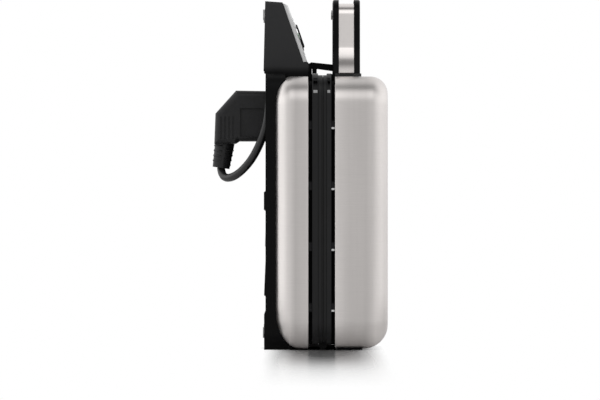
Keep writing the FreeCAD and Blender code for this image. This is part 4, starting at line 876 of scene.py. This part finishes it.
class WM_OT_marks(bpy.types.Operator):
    """Prints the marks round the browning dial"""
    bl_idname = "waffle.marks"
    bl_label = "Dial marks"

    def execute(self, context):
        mesh = marks_mesh(context.scene.wm_panel)
        turn = Matrix.Rotation(math.radians(90), 4, "Y") @ Matrix.Rotation(MARKS_START, 4, "Z")
        mesh.transform(panel_frame() @ Matrix.Translation((MARKS_LIFT, 0, 0)) @ turn)
        piece("dial_marks", mesh, "base", "dark_ink")
        return {"FINISHED"}


# Ribs of the plug's sleeve

RIB_SWEEP = math.radians(160)
RIB_STEPS = 24
RIB_SECTION_STEPS = 10
# How much larger each rib is than the one before, and the first rib's height over the lead's end
RIB_GROWTH = 0.0145
RIBS_START = 0.0034
# The sleeve leans across by the first length over the second
SLEEVE_LEAN = math.atan2(4.0, 26.4)


def ribs_mesh(sizes):
    """Half rings that stand to either side of a sleeve by turns, and widen up it."""
    g = ShapeTree("sleeve_ribs", Ribs=sizes.ribs, Pitch=sizes.rib_pitch, Radius=sizes.rib_radius,
                  Thickness=sizes.rib_thickness, Growth=RIB_GROWTH)
    arc = g.add("GeometryNodeCurveArc", {}, {
        "Resolution": RIB_STEPS, "Start Angle": -RIB_SWEEP / 2, "Sweep Angle": RIB_SWEEP,
        "Radius": g.given["Radius"]})
    section = g.add("GeometryNodeCurvePrimitiveCircle", {}, {
        "Resolution": RIB_SECTION_STEPS, "Radius": g.given["Thickness"]})
    rib = g.add("GeometryNodeCurveToMesh", {}, {
        "Curve": arc[0], "Profile Curve": section[0], "Fill Caps": True})
    step = g.add("ShaderNodeCombineXYZ", {}, {"Z": g.given["Pitch"]})
    places = g.add("GeometryNodeMeshLine", {}, {"Count": g.given["Ribs"], "Offset": step[0]})
    index = g.add("GeometryNodeInputIndex")
    half_turns = g.add("ShaderNodeMath", {"operation": "MULTIPLY"}, {0: index[0], 1: math.pi})
    turn = g.add("ShaderNodeCombineXYZ", {}, {"Z": half_turns[0]})
    size = g.add("ShaderNodeMath", {"operation": "MULTIPLY_ADD"}, {
        0: index[0], 1: g.given["Growth"], 2: 1.0})
    ribs = g.add("GeometryNodeInstanceOnPoints", {}, {
        "Points": places[0], "Instance": rib[0], "Rotation": turn[0], "Scale": size[0]})
    return g.mesh(ribs[0], finish("plug_black"))


class WM_OT_sleeve_ribs(bpy.types.Operator):
    """Rings the plug's sleeve with staggered ribs"""
    bl_idname = "waffle.sleeve_ribs"
    bl_label = "Sleeve ribs"

    def execute(self, context):
        mesh = ribs_mesh(context.scene.wm_lead)
        lead_end = Matrix.Translation(Vector(LOOP[-1]) * MM)
        start = Matrix.Translation((0, 0, RIBS_START))
        mesh.transform(lead_end @ Matrix.Rotation(SLEEVE_LEAN, 4, "Y") @ start)
        for polygon in mesh.polygons:
            polygon.use_smooth = True
        piece("sleeve_ribs", mesh, "base", "plug_black")
        return {"FINISHED"}


# Studio

FRAME_WIDTH = 600
SENSOR_WIDTH = 36.0
FLOOR_REACH = 14.0
LAMP_PLACE = (0.0, -3.2, 3.4)
LAMP_AIM = (0, 0, 0.13)
LAMP_SIZE = 3.0
LAMP_POWER = 14.0

# How much of the floor's mirror image is shown, by metres to either side and by shares of the way ahead
MIRROR_BESIDE = [(0.026, 1.0), (0.036, 0.75), (0.050, 0.0)]
MIRROR_AHEAD = [(0.25, 1.0), (0.36, 0.95), (0.47, 0.8), (0.63, 0.5), (0.9, 0.1), (1.0, 0.0)]
MIRROR_REACH = 1 / 0.6
MIRROR_BACK = (0.10, 0.13)
MIRROR_MIDDLE = -0.001
# Ellipses of the floor under the object and of its shade: a middle, and scales to a metre across and along
CONTACT_MIDDLE = -0.010
CONTACT_SCALES = (22.0, 6.2)
SHADE_MIDDLE = -0.05
SHADE_SCALES = (12.75, 0.675)
# The floor's painted shadow tone, by share of the shade's reach
FLOOR_SHADE = [(0.0, 0.06), (0.26, 0.12), (0.45, 0.35), (0.6, 0.57), (0.7, 0.68), (0.8, 0.76), (0.9, 0.805),
               (1.0, 0.82)]
FLOOR_TONE = 0.82
# The floor is fully matt from just behind the object's near face, and partly before it
MATT_SHARE = [(0.39, 0.45), (0.40, 1.0)]
# The room's light, by share of a half turn from straight ahead of the object over its top
ROOM_LIGHT = [(0.0, 0.80), (0.13, 0.80), (0.235, 0.98), (0.285, 0.9), (0.36, 0.3), (0.44, 0.22), (0.52, 0.7),
              (0.58, 0.95), (0.8, 1.0)]
RIGHT_LIGHT = 1.3
LEFT_LIGHT = 1.5


def ellipse(across, depth, scales):
    """Distance from the middle of an ellipse, 1 at its edge."""
    return ((across * scales[0]) ** 2.0 + (depth * scales[1]) ** 2.0) ** 0.5


def pale_floor():
    """A satin white floor, with a painted shadow near the object, and clear to the white room farther away.
    """
    s = Shade("pale_floor")
    speck = s.noise(3)
    depth = s.along("Y")
    across = abs(s.along("X") - MIRROR_MIDDLE)
    behind = s.fall(depth, *MIRROR_BACK)
    near = s.ramp(across, MIRROR_BESIDE) * behind * s.ramp(depth / -MIRROR_REACH, MIRROR_AHEAD)
    gloss = s.rise(s.add("ShaderNodeFresnel", {}, {"IOR": 1.45}), 0.32, 0.75)
    contact = s.fall(ellipse(s.along("X") - CONTACT_MIDDLE, depth, CONTACT_SCALES), 0.72, 1.0)
    shown = s.combine("MAXIMUM", near * gloss, contact)
    # Painted shadow: the floor's colour darkens towards the middle, under and in front of the object
    shade = s.ramp(ellipse(across, abs(depth - SHADE_MIDDLE), SHADE_SCALES), FLOOR_SHADE)
    tone = s.blend(s.add("ShaderNodeLightPath", out="Is Glossy Ray"), shade, grey(FLOOR_TONE))
    satin = s.add("ShaderNodeBsdfPrincipled", {}, {
        "Base Color": tone, "Roughness": varied(0.16, (speck, 0.04))})
    matt = s.add("ShaderNodeBsdfDiffuse", {}, {"Color": tone})
    ground = s.add("ShaderNodeMixShader", {}, {0: s.ramp(depth + 0.5, MATT_SHARE), 1: satin, 2: matt})
    clear = s.add("ShaderNodeBsdfTransparent")
    seen = s.add("ShaderNodeLightPath", out="Is Camera Ray")
    shader = s.add("ShaderNodeMixShader", {}, {0: seen * (1.0 - shown), 1: ground, 2: clear})
    s.add("ShaderNodeOutputMaterial", {}, {"Surface": shader})
    return s.material


def set_camera(scene):
    """A long lens from straight ahead."""
    sizes = scene.wm_studio
    data = bpy.data.cameras.new("camera")
    data.sensor_width = SENSOR_WIDTH
    data.lens = SENSOR_WIDTH * sizes.distance / (FRAME_WIDTH * sizes.per_pixel)
    data.clip_end = 100.0
    camera = bpy.data.objects.new("camera", data)
    camera.location = (sizes.aim_x, -sizes.distance, sizes.aim_z)
    camera.rotation_euler = (math.radians(90), 0, 0)
    scene.collection.objects.link(camera)
    scene.camera = camera


def set_floor(scene):
    """A wide flat floor at the height of the standing face."""
    corners = [(-1, -1), (1, -1), (1, 1), (-1, 1)]
    mesh = bpy.data.meshes.new("floor")
    mesh.from_pydata([(x * FLOOR_REACH, y * FLOOR_REACH, 0) for x, y in corners], [], [(0, 1, 2, 3)])
    floor = bpy.data.objects.new("floor", mesh)
    scene.collection.objects.link(floor)
    floor.data.materials.append(pale_floor())


def set_room(scene):
    """A white room to look at, with a darker ceiling and brighter sides to be lit by."""
    world = bpy.data.worlds.new("studio")
    scene.world = world
    world.use_nodes = True
    w = Shade("studio", world.node_tree)
    look = w.add("ShaderNodeTexCoord", out="Generated")
    across = w.part(look, "X")
    turn = w.combine("ARCTAN2", w.part(look, "Z"), w.part(look, "Y") * -1.0) / math.pi
    right = w.rise(across, 0.3, 0.92)
    left = w.rise(across * -1.0, 0.5, 0.95)
    glow = w.blend(right, w.ramp(turn, ROOM_LIGHT), grey(RIGHT_LIGHT))
    glow = w.blend(left, glow, grey(LEFT_LIGHT))
    tone = w.blend(w.add("ShaderNodeLightPath", out="Is Camera Ray"), glow, grey(1.0))
    background = w.add("ShaderNodeBackground", {}, {"Color": tone, "Strength": 1.0})
    w.add("ShaderNodeOutputWorld", {}, {"Surface": background})


def set_lamp(scene):
    """One soft lamp, above the object and in front of it."""
    data = bpy.data.lights.new("front_box", "AREA")
    data.shape = "SQUARE"
    data.size = LAMP_SIZE
    data.energy = LAMP_POWER
    lamp = bpy.data.objects.new("front_box", data)
    lamp.location = LAMP_PLACE
    lamp.rotation_euler = (Vector(LAMP_AIM) - Vector(LAMP_PLACE)).to_track_quat("-Z", "Y").to_euler()
    scene.collection.objects.link(lamp)


class WM_OT_studio(bpy.types.Operator):
    """Sets the floor, the light and the camera"""
    bl_idname = "waffle.studio"
    bl_label = "Studio"

    def execute(self, context):
        scene = context.scene
        set_camera(scene)
        set_floor(scene)
        set_room(scene)
        set_lamp(scene)
        scene.view_settings.view_transform = "Standard"
        return {"FINISHED"}


class WM_PT_panel(bpy.types.Panel):
    """Lists the pieces and their sizes"""
    bl_idname = "WM_PT_panel"
    bl_label = "Waffle maker"
    bl_space_type = "VIEW_3D"
    bl_region_type = "UI"
    bl_category = "Waffle maker"

    def draw(self, context):
        for operator in OPERATORS:
            self.layout.operator(operator.bl_idname)
        for group in GROUPS:
            box = self.layout.box()
            settings = getattr(context.scene, group)
            for name in settings.__annotations__:
                box.prop(settings, name)


GROUPS = {
    "wm_covers": CoverSizes,
    "wm_handle": HandleSizes,
    "wm_lead": LeadSizes,
    "wm_panel": PanelSizes,
    "wm_studio": StudioSizes,
}
OPERATORS = (WM_OT_studio, WM_OT_finishes, WM_OT_sleeve_ribs, WM_OT_lead, WM_OT_covers, WM_OT_band_feet,
             WM_OT_marks)


def register():
    for kind in (*GROUPS.values(), *OPERATORS, WM_PT_panel):
        bpy.utils.register_class(kind)
    for name, kind in GROUPS.items():
        setattr(bpy.types.Scene, name, bpy.props.PointerProperty(type=kind))


def unregister():
    for name in GROUPS:
        delattr(bpy.types.Scene, name)
    for kind in reversed((*GROUPS.values(), *OPERATORS, WM_PT_panel)):
        bpy.utils.unregister_class(kind)


def main():
    register()
    bpy.ops.waffle.studio()
    bpy.ops.waffle.finishes()
    bpy.ops.waffle.sleeve_ribs()
    bpy.ops.waffle.lead()
    bpy.ops.waffle.covers()
    bpy.ops.waffle.band_feet()
    bpy.ops.waffle.marks()


if __name__ == "__main__":
    main()
